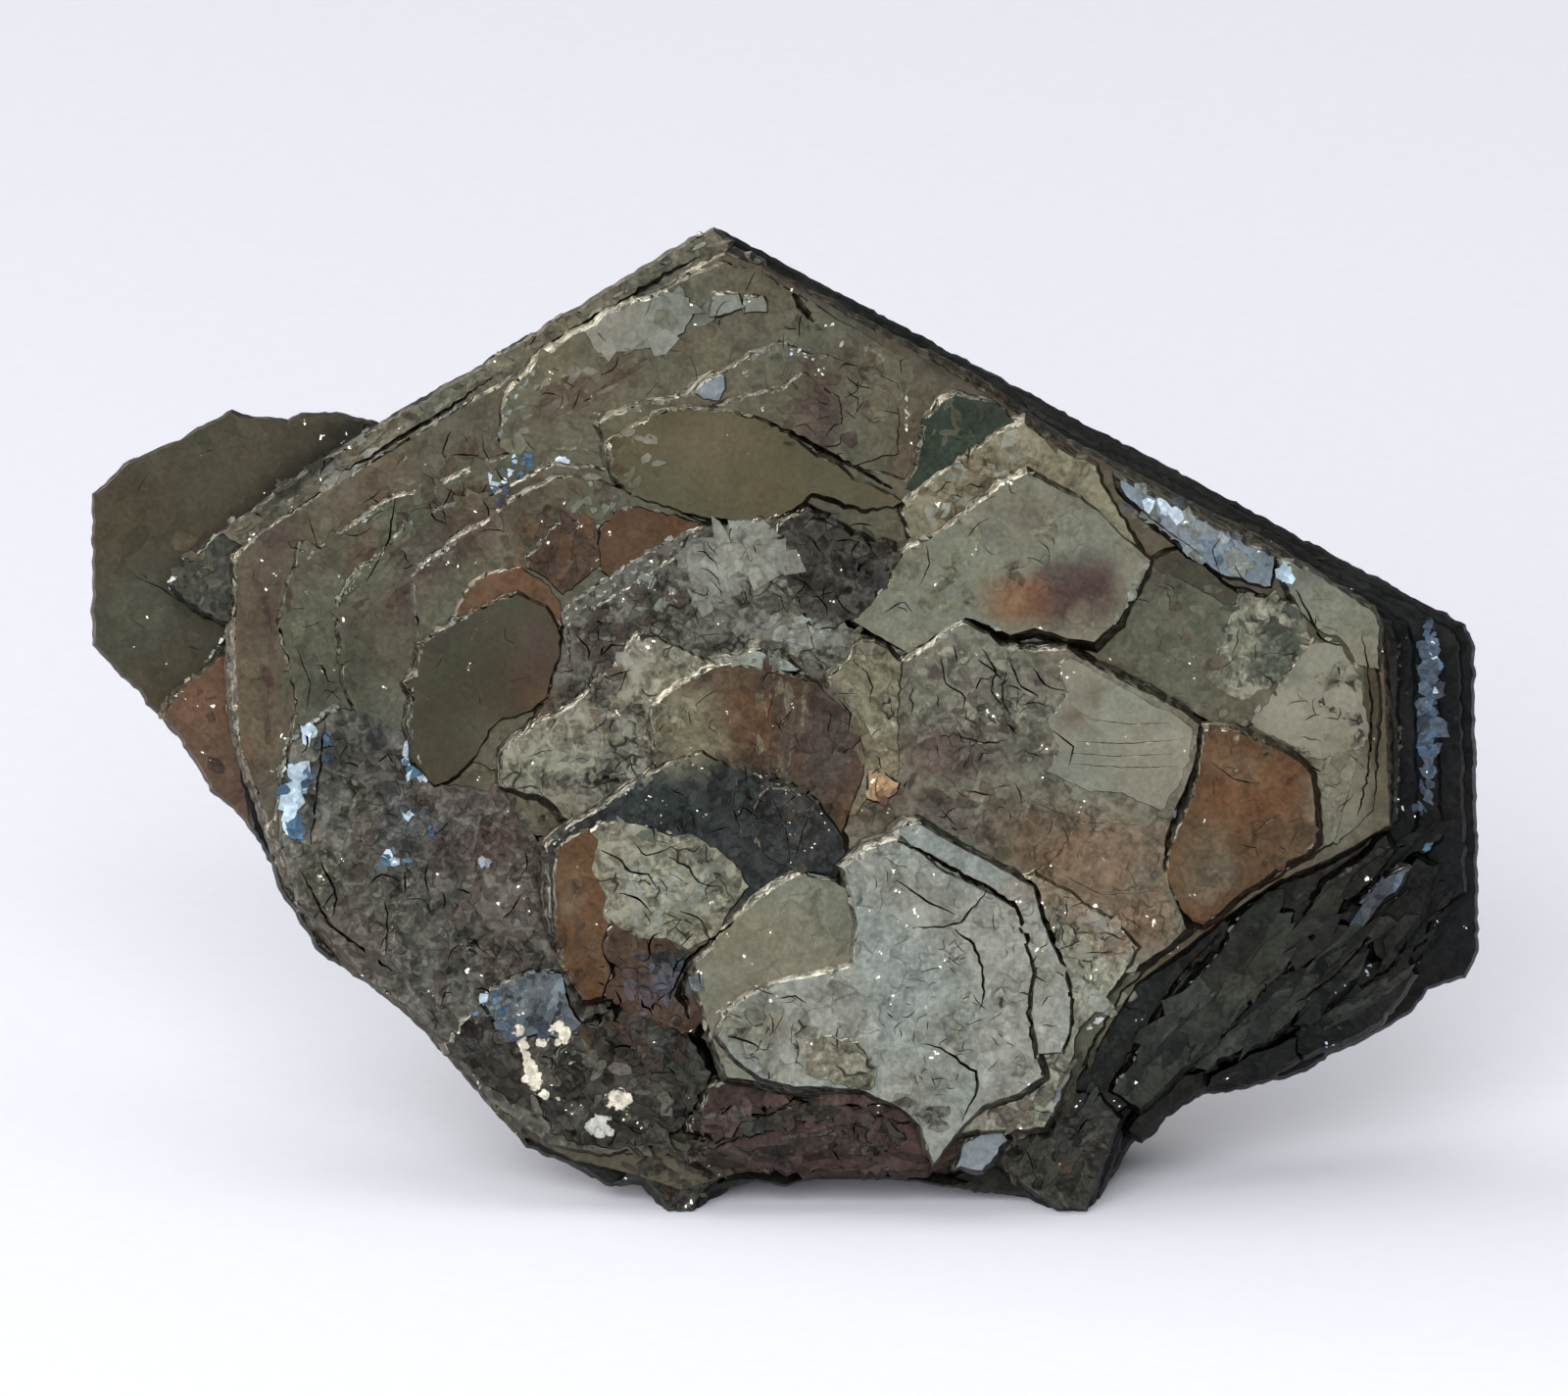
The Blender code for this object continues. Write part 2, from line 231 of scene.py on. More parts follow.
# Sizes of the patterns, in waves or cells a metre.
MOSAIC_CELLS = 720.0
CHIP_CELLS = 1900.0
SEAM_CELLS = 480.0
WARP_WAVES = 1100.0
PATCH_WAVES = 400.0
CLOUD_WAVES = 150.0
HUE_WAVES = 105.0
SPECK_WAVES = 2700.0
EDGE_CHIP_CELLS = 1700.0
EDGE_WARP_WAVES = 1300.0
EDGE_SPECK_WAVES = 2400.0
GROWTH_LINES = 2700.0               # down the depth of the slab
LINE_SCALE = 3.0                    # how many of them make one step of their level
CRUMB_WAVES = 1100.0
FIBRE_WAVES = 500.0

WARP = 0.0011                       # how far the cells' sides wander, in metres
LINE_SWAY = 1.2                     # how far the growth lines wander, in those steps
RELIEF = 0.0001                     # height of the finest relief, in metres
CRUMB_RELIEF = 0.00009              # the same on the crumbs


def plate_finish():
    """Tarnished metal: the mesh gives each place its tint and how crackled or rough it is."""
    material, shader, wire = new_finish("tarnished plates")
    place = wire.node("ShaderNodeTexCoord", output=3)
    tint = wire.node("ShaderNodeAttribute", {"attribute_name": "tint"})
    crackle = wire.node("ShaderNodeAttribute", {"attribute_name": "texture"}, output=1).first()
    rough = crackle.output(1)

    drift = place.moved(grain(place, WARP_WAVES, 0.0, 0.6, output=1), WARP)
    mosaic = scatter(drift, MOSAIC_CELLS, output=1).first()
    chips = scatter(drift, CHIP_CELLS, output=1).first()
    seam = scatter(drift, SEAM_CELLS, "DISTANCE_TO_EDGE")
    patch = grain(place, PATCH_WAVES, 1.0)
    gate = patch.between(0.42, 0.58)
    cracks = seam.between(0.015, 0.06, 1.0, 0.0) * patch.between(0.50, 0.58) * crackle
    pale = seam.between(0.07, 0.16, 1.0, 0.0) * patch.between(0.46, 0.40) * crackle

    cloud = grain(place, CLOUD_WAVES, 3.0, 0.62)
    speck = grain(place, SPECK_WAVES, 1.0, 0.7)
    hue = grain(place, HUE_WAVES, 1.0, 0.6).between(0.36, 0.64)
    hue = (hue - 0.5) * (1.0 - crackle * 0.7) + 0.5
    patchy = (mosaic - 0.5) * gate * (crackle * 0.8 + 0.10) + (chips - 0.5) * crackle * 0.55
    pitted = (chips - 0.5) * rough * 0.8 + (mosaic - 0.5) * rough * 0.5
    grit = speck.between(0.3, 0.75, -0.5, 0.5) * (crackle * 0.45 + rough * 0.3 + 0.14)
    shade = (cloud.between(0.3, 0.72, 0.88, 1.12) + patchy + pitted) * (grit + 1.0)
    warmth = wire.node("ShaderNodeMix", {"data_type": "RGBA"}, {0: hue, 6: COOL, 7: WARM}, 2)
    colour = tint.tinted(warmth).scaled(shade)
    colour = colour.mix(tint.scaled(1.8), pale * 0.6)
    colour = colour.mix(CRACK_COLOUR, cracks * 0.9)
    dust = chips.between(0.984, 0.990) * speck.between(0.62, 0.68)
    feed(shader, "Base Color", colour.mix(DUST_COLOUR, dust * 0.6))
    feed(shader, "Metallic", 1.0 - dust)
    feed(shader, "Roughness", speck.between(0.3, 0.8, 0.27, 0.37) + rough * 0.1 + crackle * 0.05)
    feed(shader, "Specular Tint", GRAZING)
    steps = mosaic * crackle * gate + chips * (rough + crackle * 0.5)
    feed(shader, "Normal", bump(patch * 0.8 + speck * 0.07 + steps * 0.7, RELIEF))
    return material


def edge_finish():
    """Broken and striated plate edges: fine growth lines run along the slab."""
    material, shader, wire = new_finish("plate edges")
    place = wire.node("ShaderNodeTexCoord", output=3)
    tint = wire.node("ShaderNodeAttribute", {"attribute_name": "tint"})
    depth = wire.node("ShaderNodeAttribute", {"attribute_name": "face_depth"}, output=2)
    drift = grain(place, EDGE_WARP_WAVES, 0.0, 0.6, output=1)
    level = depth * (GROWTH_LINES / LINE_SCALE) + drift.first() * LINE_SWAY
    lines = level.node("ShaderNodeTexNoise", {"noise_dimensions": "1D"},
                       {"W": level, "Scale": LINE_SCALE, "Detail": 2.0, "Roughness": 0.7})
    speck = grain(place, EDGE_SPECK_WAVES, 1.0, 0.7)
    chips = scatter(place.moved(drift, WARP), EDGE_CHIP_CELLS, output=1).first()
    shade = lines.between(0.3, 0.7, 0.6, 1.4) * speck.between(0.3, 0.75, 0.8, 1.2)
    feed(shader, "Base Color", tint.scaled(shade * (chips * 0.8 + 0.6)))
    feed(shader, "Metallic", 1.0)
    feed(shader, "Roughness", speck.between(0.3, 0.8, 0.34, 0.5))
    feed(shader, "Specular Tint", GRAZING)
    feed(shader, "Normal", bump(chips + lines * 1.2 + speck * 0.3, RELIEF))
    return material


def crumb_finish(name, dark, light):
    """Dull, earthy mineral, clouded from a dark to a light tint."""
    material, shader, wire = new_finish(name)
    place = wire.node("ShaderNodeTexCoord", output=3)
    cloud = grain(place, CRUMB_WAVES, 4.0, 0.7)
    tint = wire.node("ShaderNodeValToRGB", {"stops": ((0.34, dark), (0.62, light))}, {0: cloud})
    feed(shader, "Base Color", tint)
    feed(shader, "Roughness", cloud.between(0.2, 0.8, 0.7, 0.95))
    feed(shader, "Normal", bump(cloud, CRUMB_RELIEF))
    return material


def floor_finish():
    """Even, matt, very pale paper."""
    material, shader, wire = new_finish("floor")
    place = wire.node("ShaderNodeTexCoord", output=3)
    fibre = grain(place, FIBRE_WAVES, 3.0, 0.6)
    paper = wire.node("ShaderNodeValToRGB", {"stops": ((0.35, PAPER_DARK), (0.65, PAPER_LIGHT))},
                      {0: fibre})
    feed(shader, "Base Color", paper)
    feed(shader, "Roughness", 0.9)
    return material


# ---------------------------------------------------------------- tints, as sRGB bytes


def tone(red, green, blue):
    """Return a linear colour from everyday 0 to 255 values."""
    return tuple(((value / 255 + 0.055) / 1.055) ** 2.4 for value in (red, green, blue))


# Each finish: its tint, how crackled it is and how rough it is, from 0 to 1.
FINISHES = {
    "wing": (tone(78, 73, 61), 0.10, 0.10),
    "ledge": (tone(105, 83, 69), 0.15, 0.15),
    "point": (tone(74, 75, 70), 0.30, 0.45),
    "band_side": (tone(104, 100, 86), 0.30, 0.60),
    "face": (tone(96, 89, 75), 0.20, 0.12),
    "terrace": (tone(95, 93, 79), 0.25, 0.15),
    "upper": (tone(102, 99, 84), 0.25, 0.10),
    "upper_light": (tone(131, 132, 122), 0.15, 0.05),
    "oval": (tone(76, 71, 58), 0.05, 0.0),
    "copper": (tone(100, 77, 60), 0.20, 0.05),
    "hexagon": (tone(96, 75, 57), 0.25, 0.10),
    "rust": (tone(120, 84, 60), 0.20, 0.05),
    "brown": (tone(80, 66, 55), 0.30, 0.30),
    "lens": (tone(92, 88, 70), 0.05, 0.0),
    "teal": (tone(56, 65, 58), 0.20, 0.20),
    "band": (tone(118, 114, 95), 0.50, 0.20),
    "sage": (tone(122, 121, 106), 0.25, 0.0),
    "sage_light": (tone(132, 133, 120), 0.10, 0.0),
    "smooth": (tone(132, 132, 119), 0.10, 0.0),
    "shelf_pale": (tone(138, 137, 123), 0.80, 0.10),
    "centre": (tone(92, 90, 82), 0.80, 0.50),
    "pale": (tone(145, 148, 139), 0.35, 0.10),
    "dark_rough": (tone(68, 66, 62), 0.50, 0.90),
    "right": (tone(112, 109, 96), 0.55, 0.10),
    "white": (tone(142, 145, 138), 0.42, 0.03),
    "slate": (tone(56, 58, 57), 0.35, 0.5),
    "crackled": (tone(126, 124, 109), 0.95, 0.15),
    "plum": (tone(78, 71, 66), 0.30, 0.20),
    "violet": (tone(79, 65, 62), 0.30, 0.30),
    "druse": (tone(98, 95, 88), 0.45, 0.75),
    "druse_dark": (tone(69, 66, 61), 0.45, 0.80),
    "slate_blue": (tone(84, 94, 108), 0.30, 0.45),
    "toe": (tone(62, 62, 58), 0.45, 0.80),
    # The slope and rim tints are partly the metal's own dark and partly painted shade of the broken sides
    # that face away from the light.
    "slope": (tone(44, 45, 43), 0.30, 0.35),
    "slope_light": (tone(60, 63, 56), 0.30, 0.25),
    "rim": (tone(35, 36, 37), 0.20, 0.30),
    "rim_edge": (tone(50, 48, 44), 0.20, 0.30),
    "blue_grey": (tone(128, 138, 146), 0.15, 0.10),
    "peach": (tone(170, 142, 112), 0.40, 0.20),
    # The glint tints are painted reflections, pale and bluish, and the spark tint is a painted highlight.
    "glint": (tone(205, 222, 236), 0.1, 0.3),
    "glint_blue": (tone(92, 118, 144), 0.1, 0.4),
    "spark": (tone(232, 232, 222), 0.0, 0.0),
    "cream": (tone(186, 180, 160), 0.0, 0.60),
    "back": (tone(70, 66, 60), 0.60, 0.60),
    "back_dark": (tone(50, 48, 45), 0.60, 0.60),
    "crack": (tone(58, 52, 44), 0.0, 0.0),
}
FINISH_NAMES = tuple(FINISHES)

Plate = namedtuple("Plate", "name finish back front tilt edge relief outline shade", defaults=(1.0,))

APEX = Vector((-5.0, 70.4))         # the slab's top corner, as its lowest layer has it
SHOULDER = Vector((48.8, 41.9))     # its upper right corner
RIGHT_EDGE_U = 50.0
RIGHT_EDGE_TOP = 40.5               # v where the upright right edge begins

# name, finish, back, front, inset at the right edge, inset at the upper right edge, broken lower
# right corner, then the bottom and left round to the upper left edge.
RIM_LAYERS = (
    ("rim_0", "rim", -0.6, 4.8, 0, 0, ((50, 18.2), (49, 16.3), (46.3, 15.4), (45.2, 13.8), (42.5, 12.2),
     (39.5, 10.8), (37.5, 9.5), (34, 8.5), (28.5, 7.5), (26.8, 6), (24.6, 4)), ((20.4, 4.2), (12, 4.2),
     (2, 4), (-5, 4), (-11, 4.8), (-19, 8.4), (-28, 17.4), (-33.8, 24), (-37, 33), (-37.6, 46.6),
     (-30, 53.2), (-14, 63.2))),
    ("rim_1", "rim", 4, 7.4, 1, 0.7, ((49, 22.5), (46.6, 20.6), (45.6, 17.4), (43.2, 15), (40, 12.6),
     (35.5, 10.2), (30.6, 8.6), (26, 6), (23.6, 2.6)), ((19.8, 3), (12, 3.2), (2, 3), (-5, 2.8),
     (-11.6, 3.6), (-19.6, 7.8), (-28.6, 16.8), (-34.8, 24.2), (-38, 32), (-38.6, 46.4), (-31, 53.4),
     (-14.6, 63.6))),
    ("rim_2", "rim", 6.6, 9.9, 2.7, 1.3, ((47.2, 26.4), (44.9, 24), (44, 20.4), (42.4, 17.6), (40.4, 15.6),
     (36.4, 12.6), (31.2, 10), (26.6, 7.2), (23, 1.4)), ((19.4, 1), (12, 2.4), (2, 2.6), (-4.2, 2.2),
     (-6.4, 1), (-9.2, 1), (-12.4, 2.6), (-20, 7.2), (-28.4, 15.6), (-35.2, 23.4), (-38.6, 30.6),
     (-39.2, 46.2), (-32, 53.6), (-15.4, 63.8))),
    ("rim_3", "rim", 9.1, 12.1, 4.5, 1.9, ((45.4, 27.2), (42.4, 23.2), (41.2, 20), (40, 17.6), (37.4, 14.4),
     (32.6, 12), (28.2, 9), (24.8, 6.2), (22.6, 0.4)), ((19, 0), (13.5, 1.4), (8, 2.2), (2, 2.2),
     (-3.4, 1.8), (-6.2, -0.4), (-8.8, -0.4), (-10.6, 1.7), (-14, 2), (-20.4, 6), (-26, 12.8), (-32, 17.4),
     (-35.6, 22.2), (-38.4, 27), (-39.2, 31), (-39.4, 41), (-43.2, 44.6), (-41.6, 47.4), (-38.6, 49.7),
     (-28.6, 56.4), (-15.4, 64.1))),
    ("rim_4", "slope", 11.3, 14.1, 5.6, 2.4, ((44.1, 27.6), (39.2, 23.6), (37.4, 20), (36.8, 18.2),
     (34.6, 15.2), (30.8, 12.4), (27.6, 9.6), (24, 6.6), (21.8, -0.6)), ((19.2, -0.6), (17, 0.9), (13.5, 1),
     (10, 2), (8, 1.9), (3, 2.2), (0, 1.5), (-2.5, 1.8), (-5.5, 0.9), (-6.4, -0.6), (-8.6, -0.6),
     (-10.4, 1.6), (-12.6, 1.4), (-15.2, 2.9), (-18.7, 4.2), (-20.5, 6.4), (-22.6, 9.2), (-24, 10.9),
     (-27, 13.7), (-30, 16.1), (-33.5, 18.2), (-34.6, 20), (-36.6, 23.2), (-37, 25.4), (-37.9, 28.4),
     (-39, 31), (-39.6, 34), (-39.9, 41.3), (-42.8, 42.8), (-44.4, 44.6), (-43.4, 46.2), (-41, 48.3),
     (-38.6, 50), (-35.5, 52.2), (-28, 57), (-22, 60.4), (-17, 63.5), (-15.2, 64.5))),
)

# The plates of the face and the wing beside it, in order of growth.
FACE_PLATES = (
    Plate("wing", "wing", 1, 5.8, (0, 0), "foot", 0.05, ((-50.1, 40.3), (-50.1, 51.2), (-48.6, 52.5),
     (-47.8, 53.4), (-43.5, 55.4), (-40, 57.3), (-38.5, 56.8), (-36, 56.6), (-35, 57.1), (-32.5, 57.1),
     (-29.5, 56.4), (-26, 50), (-26, 30), (-37.4, 30.4), (-44.4, 34), (-46.8, 37))),
    Plate("copper_ledge", "ledge", 4.8, 10.6, (0, 1), "foot", 0.08, ((-45, 35.2), (-44.2, 36.8),
     (-42.5, 38.2), (-41, 39.4), (-39, 40.6), (-34, 38), (-34, 24.5), (-36.9, 25), (-38.2, 26.6),
     (-39.8, 28.5), (-41.5, 29.8), (-42.3, 31.4), (-43.3, 33))),
    Plate("left_point", "point", 12, 14.6, (-2, -1), "foot", 0.12, ((-44.3, 44.6), (-43.3, 46.1),
     (-41, 48.2), (-39.2, 49.4), (-37, 48), (-37.4, 41.2), (-40.6, 41.8), (-42.8, 43))),
    Plate("left_band", "band_side", 12, 15.1, (0, 0), "foot", 0.14, ((-41, 48.2), (-38.6, 49.9),
     (-35.5, 52.1), (-28, 56.9), (-22, 60.3), (-17, 63.4), (-15.2, 64.4), (-12, 66.4), (-8, 68.9),
     (-5.2, 70.2), (-3.6, 69.2), (-5, 66.6), (-20, 57.4), (-32, 50.4), (-38.6, 46.8))),
    Plate("lower_point", "point", 12.8, 14.8, (0, 0), "flake", 0.06, ((-38.6, 46.8), (-32, 51.6),
     (-24, 57.2), (-14.6, 62.9), (-5, 68.4), (-2, 67.6), (0, 50), (-38, 40))),
    Plate("face_plate", "face", 13.2, 15.4, (0, 0), "crystal", 0.05, ((-39.3, 46.6), (-37.4, 48.4),
     (-32, 51.9), (-27.5, 54.6), (-24, 56.8), (-20.5, 58.8), (-17, 60.9), (-13.5, 63), (-10, 65.1),
     (-6, 67.4), (-4.4, 68.3), (-2, 67.4), (5, 63.5), (11, 60.2), (20, 54.8), (28.5, 50.3), (38.5, 45),
     (42, 43), (42.6, 41.8), (42.8, 38), (43.2, 27.4), (39, 25), (35, 23.3), (31, 20.5), (28, 18.2),
     (25, 16), (22.2, 11.4), (21, 9.5), (18.4, 4.8), (12, 2.6), (4, 2.9), (-2.6, 2.8), (-7.4, 1.2),
     (-11, 2.4), (-15.2, 3.4), (-19, 5.4), (-21.4, 8.3), (-25, 12.4), (-27.6, 14.6), (-31.4, 17.4),
     (-33.8, 20.4), (-35.6, 23.6), (-36.3, 26), (-37.3, 28.4), (-38.4, 31), (-39.2, 34), (-39.5, 40.4))),
    Plate("upper_plate", "upper", 14.6, 15.9, (-1.4, 0.4), "flake", 0.06, ((-20.6, 55), (-20.2, 57),
     (-19.9, 58.4), (-19, 59.5), (-17, 61.2), (-14.5, 62.8), (-11, 64.4), (-7.6, 66.2), (-4.6, 67.6),
     (-1.6, 66.7), (9.6, 60.1), (8.6, 52), (-12, 49.6))),
    Plate("upper_step", "upper_light", 14.8, 16.25, (0.4, 0), "flake", 0.05, ((-14.5, 62.7), (-13.5, 61.1),
     (-10.5, 61.4), (-8.7, 61.6), (-7.3, 62.6), (-6.7, 63.8), (-7, 65), (-8.5, 65.6), (-12, 64.3))),
    Plate("upper_tip", "upper_light", 14.8, 16.3, (-1, 1), "flake", 0.05, ((-5.5, 63.7), (-5.2, 65.3),
     (-3.4, 65.4), (-3, 64.4), (-4, 63.9))),
    Plate("upper_chip", "upper_light", 14.8, 16.25, (-1, 1), "flake", 0.05, ((-3, 64), (-2.9, 65.1),
     (-1.6, 65.2), (-1.4, 64.2))),
    Plate("upper_ridge", "upper", 15, 16.2, (-3, -0.6), "flake", 0.05, ((-13.5, 56), (-11, 57.2),
     (-8.7, 57.7), (-7, 58.3), (-6, 59.2), (-3.6, 60.2), (-2.2, 61.2), (-0.4, 62), (1.6, 61.2), (3.2, 60.9),
     (8, 59), (8, 54), (0, 52), (-12, 53))),
    Plate("blue_facet", "blue_grey", 15.2, 16.6, (3, 0), "flake", 0.03, ((-6.6, 58.3), (-5.5, 59.3),
     (-4.5, 59.5), (-4.3, 58.6), (-4.8, 57.8), (-6, 57.8))),
    Plate("upper_lip", "upper", 15.2, 16.45, (-6, 0), "flake", 0.05, ((-5, 57.4), (-2.5, 58.1),
     (-0.3, 58.5), (1.1, 59.7), (3.7, 58), (4, 56.5), (3.9, 54.6), (2, 54.2), (-4, 55))),
    Plate("terrace_1", "terrace", 14.6, 16, (0.3, 0.2), "flake", 0.06, ((-35.4, 33.5), (-35.1, 35),
     (-35, 37), (-36.4, 42), (-35.5, 45), (-34.8, 47.5), (-33.3, 47.1), (-31, 48.8), (-29.8, 50),
     (-28, 50.8), (-25, 51.5), (-22, 53), (-18.4, 54.4), (-12, 54), (3.6, 53.4), (20, 49), (34, 42),
     (41.4, 38.6), (41.2, 33), (39.2, 26.2), (31, 21.4), (24.2, 15.8), (20.6, 9.6), (17, 4.8), (9, 3.4),
     (-4, 3.8), (-11.4, 4), (-20.4, 8.4), (-27.2, 15), (-33.6, 20.6), (-36.8, 27))),
    Plate("terrace_2", "terrace", 15.2, 16.6, (0.3, 0), "flake", 0.06, ((-31.5, 37), (-31.6, 38.5),
     (-32, 41), (-32, 43.5), (-31.2, 44.8), (-30.3, 45.9), (-29, 46.5), (-27.6, 48.5), (-26.5, 49.2),
     (-24.3, 50.2), (-21, 51), (-16.6, 53.2), (-11.6, 52.6), (0, 49), (8, 47), (8, 30), (-16, 26),
     (-28.4, 30.6))),
    Plate("terrace_3", "terrace", 15.8, 17.1, (0.2, 0.4), "flake", 0.06, ((-26.2, 40.2), (-26.4, 42),
     (-26.6, 45.1), (-25.8, 46), (-24.5, 47), (-23.5, 48), (-22, 48.7), (-19.5, 50.6), (-17, 52),
     (-15.5, 52.4), (-10, 51), (-6, 49), (-6, 36), (-20, 31), (-25, 33))),
    Plate("right_field", "wing", 14.9, 16.15, (0.5, 0.3), "flake", 0.06, ((26, 46.2), (28, 47),
     (30.2, 45.6), (32.2, 44), (36.5, 43), (42, 41), (42.4, 36), (42, 28.4), (39.4, 26), (34, 30), (20, 38),
     (22, 41))),
    Plate("druse", "druse", 14, 16.8, (0, -0.8), "foot", 0.30, ((-36.2, 31), (-35.5, 33.5), (-33.5, 35),
     (-32, 36), (-29.8, 35.6), (-27.3, 34.2), (-24.4, 30.6), (-20, 30), (-16.6, 25), (-14, 15), (-8.6, 13),
     (-8, 8), (-8.8, 4.4), (-13.4, 3.6), (-17.2, 4.4), (-20.8, 7), (-24.5, 11.9), (-30.5, 16.7),
     (-34.9, 21.5), (-36.5, 26.3))),
    Plate("oval_base", "copper", 16, 17.35, (0, 0), "flake", 0.05, ((-24, 41), (-23, 44), (-22, 45),
     (-20.5, 45.6), (-19, 45.8), (-17.6, 45), (-16.2, 43.5), (-15.9, 40), (-18, 36))),
    Plate("olive_oval", "oval", 16.4, 17.8, (0.8, 1.2), "flake", 0.05, ((-26.1, 40.2), (-24.5, 41.5),
     (-21.5, 43), (-19.3, 43.9), (-18.2, 43.5), (-17.2, 43), (-16.3, 41.2), (-16.1, 40), (-16.9, 37.5),
     (-17.2, 36.4), (-18.2, 35.6), (-20.3, 35.1), (-21.2, 34.1), (-21.9, 32.8), (-22.9, 31.5),
     (-24.2, 30.5), (-25.2, 30.2), (-26.4, 31.5), (-27, 34), (-26.6, 36.8), (-27, 37.5), (-26.3, 38.5))),
    Plate("brown_step", "brown", 16, 17.5, (0, 0.5), "flake", 0.06, ((-18.5, 46.5), (-17, 48), (-16, 49.3),
     (-13.5, 48.7), (-13.3, 46), (-14.5, 45), (-16, 43.8), (-17, 44.8), (-18.3, 45.8))),
    Plate("copper_step", "copper", 16, 17.4, (0.5, 0), "flake", 0.04, ((-13.4, 48.6), (-12, 50),
     (-10.5, 50.1), (-8, 49.5), (-6.2, 49), (-7, 46), (-12.5, 44.6), (-13.4, 46)), 0.84),
    Plate("olive_lens", "lens", 15.4, 17.7, (-0.5, -0.6), "flake", 0.05, ((-12.5, 54.8), (-10.5, 56),
     (-9.5, 56.7), (-8, 57), (-6, 57.1), (-4, 56.9), (-2, 56.4), (0, 55.2), (2, 54), (4, 52.8), (5.5, 51.8),
     (8.3, 50.5), (6.5, 49.9), (5, 50.1), (3, 50.8), (1.8, 51), (0.5, 49.9), (-0.5, 49.3), (-2, 49),
     (-5.5, 49.3), (-8.5, 50), (-11, 51), (-12, 51.8), (-12.5, 53))),
    Plate("teal_plate", "teal", 15, 16.5, (1.5, 0.5), "flake", 0.06, ((8.6, 51.4), (9.3, 53), (9.8, 55),
     (10.2, 56.5), (11, 57.5), (12, 58.2), (15, 57.5), (16.4, 56.3), (17.6, 54), (10.5, 51))),
    Plate("top_band", "band", 15.4, 17, (0.3, 0.5), "flake", 0.06, ((8.3, 50), (9.5, 51.3), (11, 52.3),
     (12.5, 53.5), (14, 54.5), (15.5, 55.5), (17, 56.2), (18.5, 55), (20, 54), (22, 53), (25.6, 46.4),
     (10, 44)), 1.15),
    # Its pale bluish grey tint is a painted reflection of the light on these tilted facets.
    Plate("bright_facets", "blue_grey", 14.8, 16.5, (2.5, 1), "flake", 0.08, ((23.6, 52.3), (26, 51),
     (28, 49.9), (31.4, 48.2), (34.9, 46.5), (34.6, 44.4), (31, 45.2), (29.6, 46.3), (27, 48.3),
     (24, 51.2))),
    Plate("corner_plate", "sage", 15, 16.45, (0.5, 0.8), "flake", 0.05, ((35.2, 46.2), (36.6, 46),
     (39.7, 44.2), (42, 42.6), (42.4, 41.5), (42.4, 38.5), (41, 38.9), (39.5, 40.8), (37.7, 41.4),
     (36.2, 43.6))),
    Plate("smooth_corner", "smooth", 15, 16.35, (0.6, 0), "flake", 0.04, ((33, 34.6), (34.6, 36.6),
     (37.5, 40.5), (39.5, 40.5), (41, 38), (41.7, 34.5), (41.3, 33), (38, 32))),
    Plate("rough_corner", "crackled", 15, 16.3, (0, 0.6), "flake", 0.10, ((32.4, 44), (36.5, 43.2),
     (37.6, 40.4), (36.5, 39), (35, 37.5), (32.5, 36), (29.8, 38), (31.4, 41))),
    Plate("centre_plate", "centre", 16.2, 17.6, (0.2, 0.2), "flake", 0.12, ((-16.1, 42.6), (-13, 44.8),
     (-11, 46.2), (-9, 47.3), (-7.5, 48.2), (-6.2, 48.7), (-3, 48.9), (0.6, 49.6), (4.4, 41.6), (9, 39.6),
     (8, 30), (4, 22), (-14, 28), (-19.8, 31.2), (-17, 36.6), (-16.1, 39.5))),
    Plate("centre_ridge", "centre", 16.2, 17.8, (0.2, 0.2), "flake", 0.10, ((-15.6, 41.6), (-12.5, 43.6),
     (-10.3, 45), (-8, 46.4), (-6, 47.7), (-2, 48), (0, 46), (2, 40), (-12, 36.6), (-15.4, 37.4))),
    Plate("dark_patch", "dark_rough", 16.4, 18, (0.8, -0.4), "broken", 0.18, ((-0.6, 48.8), (1.2, 49.9),
     (2.5, 49.5), (4, 48.5), (5.5, 47.7), (8.2, 46.8), (7, 44.5), (5.5, 42.8), (4.5, 41.8), (3, 41.3),
     (1.7, 41.7), (0.7, 43), (0.2, 44.5), (-0.3, 47))),
    Plate("sage_plate", "sage", 16.2, 18.05, (0.4, 0.7), "crystal", 0.05, ((4.7, 42), (6, 43.2),
     (7.7, 45.3), (8.4, 47), (11, 48.3), (13.1, 49.9), (15.3, 51.6), (17.2, 52.6), (19.5, 51.3), (21, 50.8),
     (22.3, 49.8), (24, 48), (26, 46.3), (25.2, 44.5), (23.7, 42), (22, 40.5), (20, 40.7), (17.7, 41.5),
     (16, 41), (13.5, 42), (12.8, 42.2), (9.5, 40.2), (8.7, 39.6))),
    Plate("right_plate", "right", 16.2, 18.5, (0.4, 0.2), "crystal", 0.05, ((8.3, 39), (10.5, 40.2),
     (11.5, 41.2), (12.6, 41.8), (14.5, 41), (15.3, 40.2), (17.5, 39.8), (20, 40), (23, 38.2), (25, 37.2),
     (28.4, 35.5), (29.5, 34.6), (29.2, 32), (28.2, 29.5), (27.1, 26.5), (26.9, 24.4), (28.6, 20),
     (27, 18.5), (25.2, 17.4), (16, 16), (2, 24), (1.8, 33), (4, 38))),
    Plate("copper_hexagon", "hexagon", 16.6, 18.45, (-0.8, 0.4), "crystal", 0.05, ((29.9, 34.2), (32, 34.1),
     (34, 33.3), (35.5, 32.6), (36.8, 31.8), (37.5, 31), (37.7, 29.5), (37.8, 26.2), (37, 25.3),
     (35.5, 24.7), (34, 23.5), (32.5, 22.6), (31, 21.2), (29.8, 20.3), (29, 20.5), (28.1, 21.5), (27.4, 23),
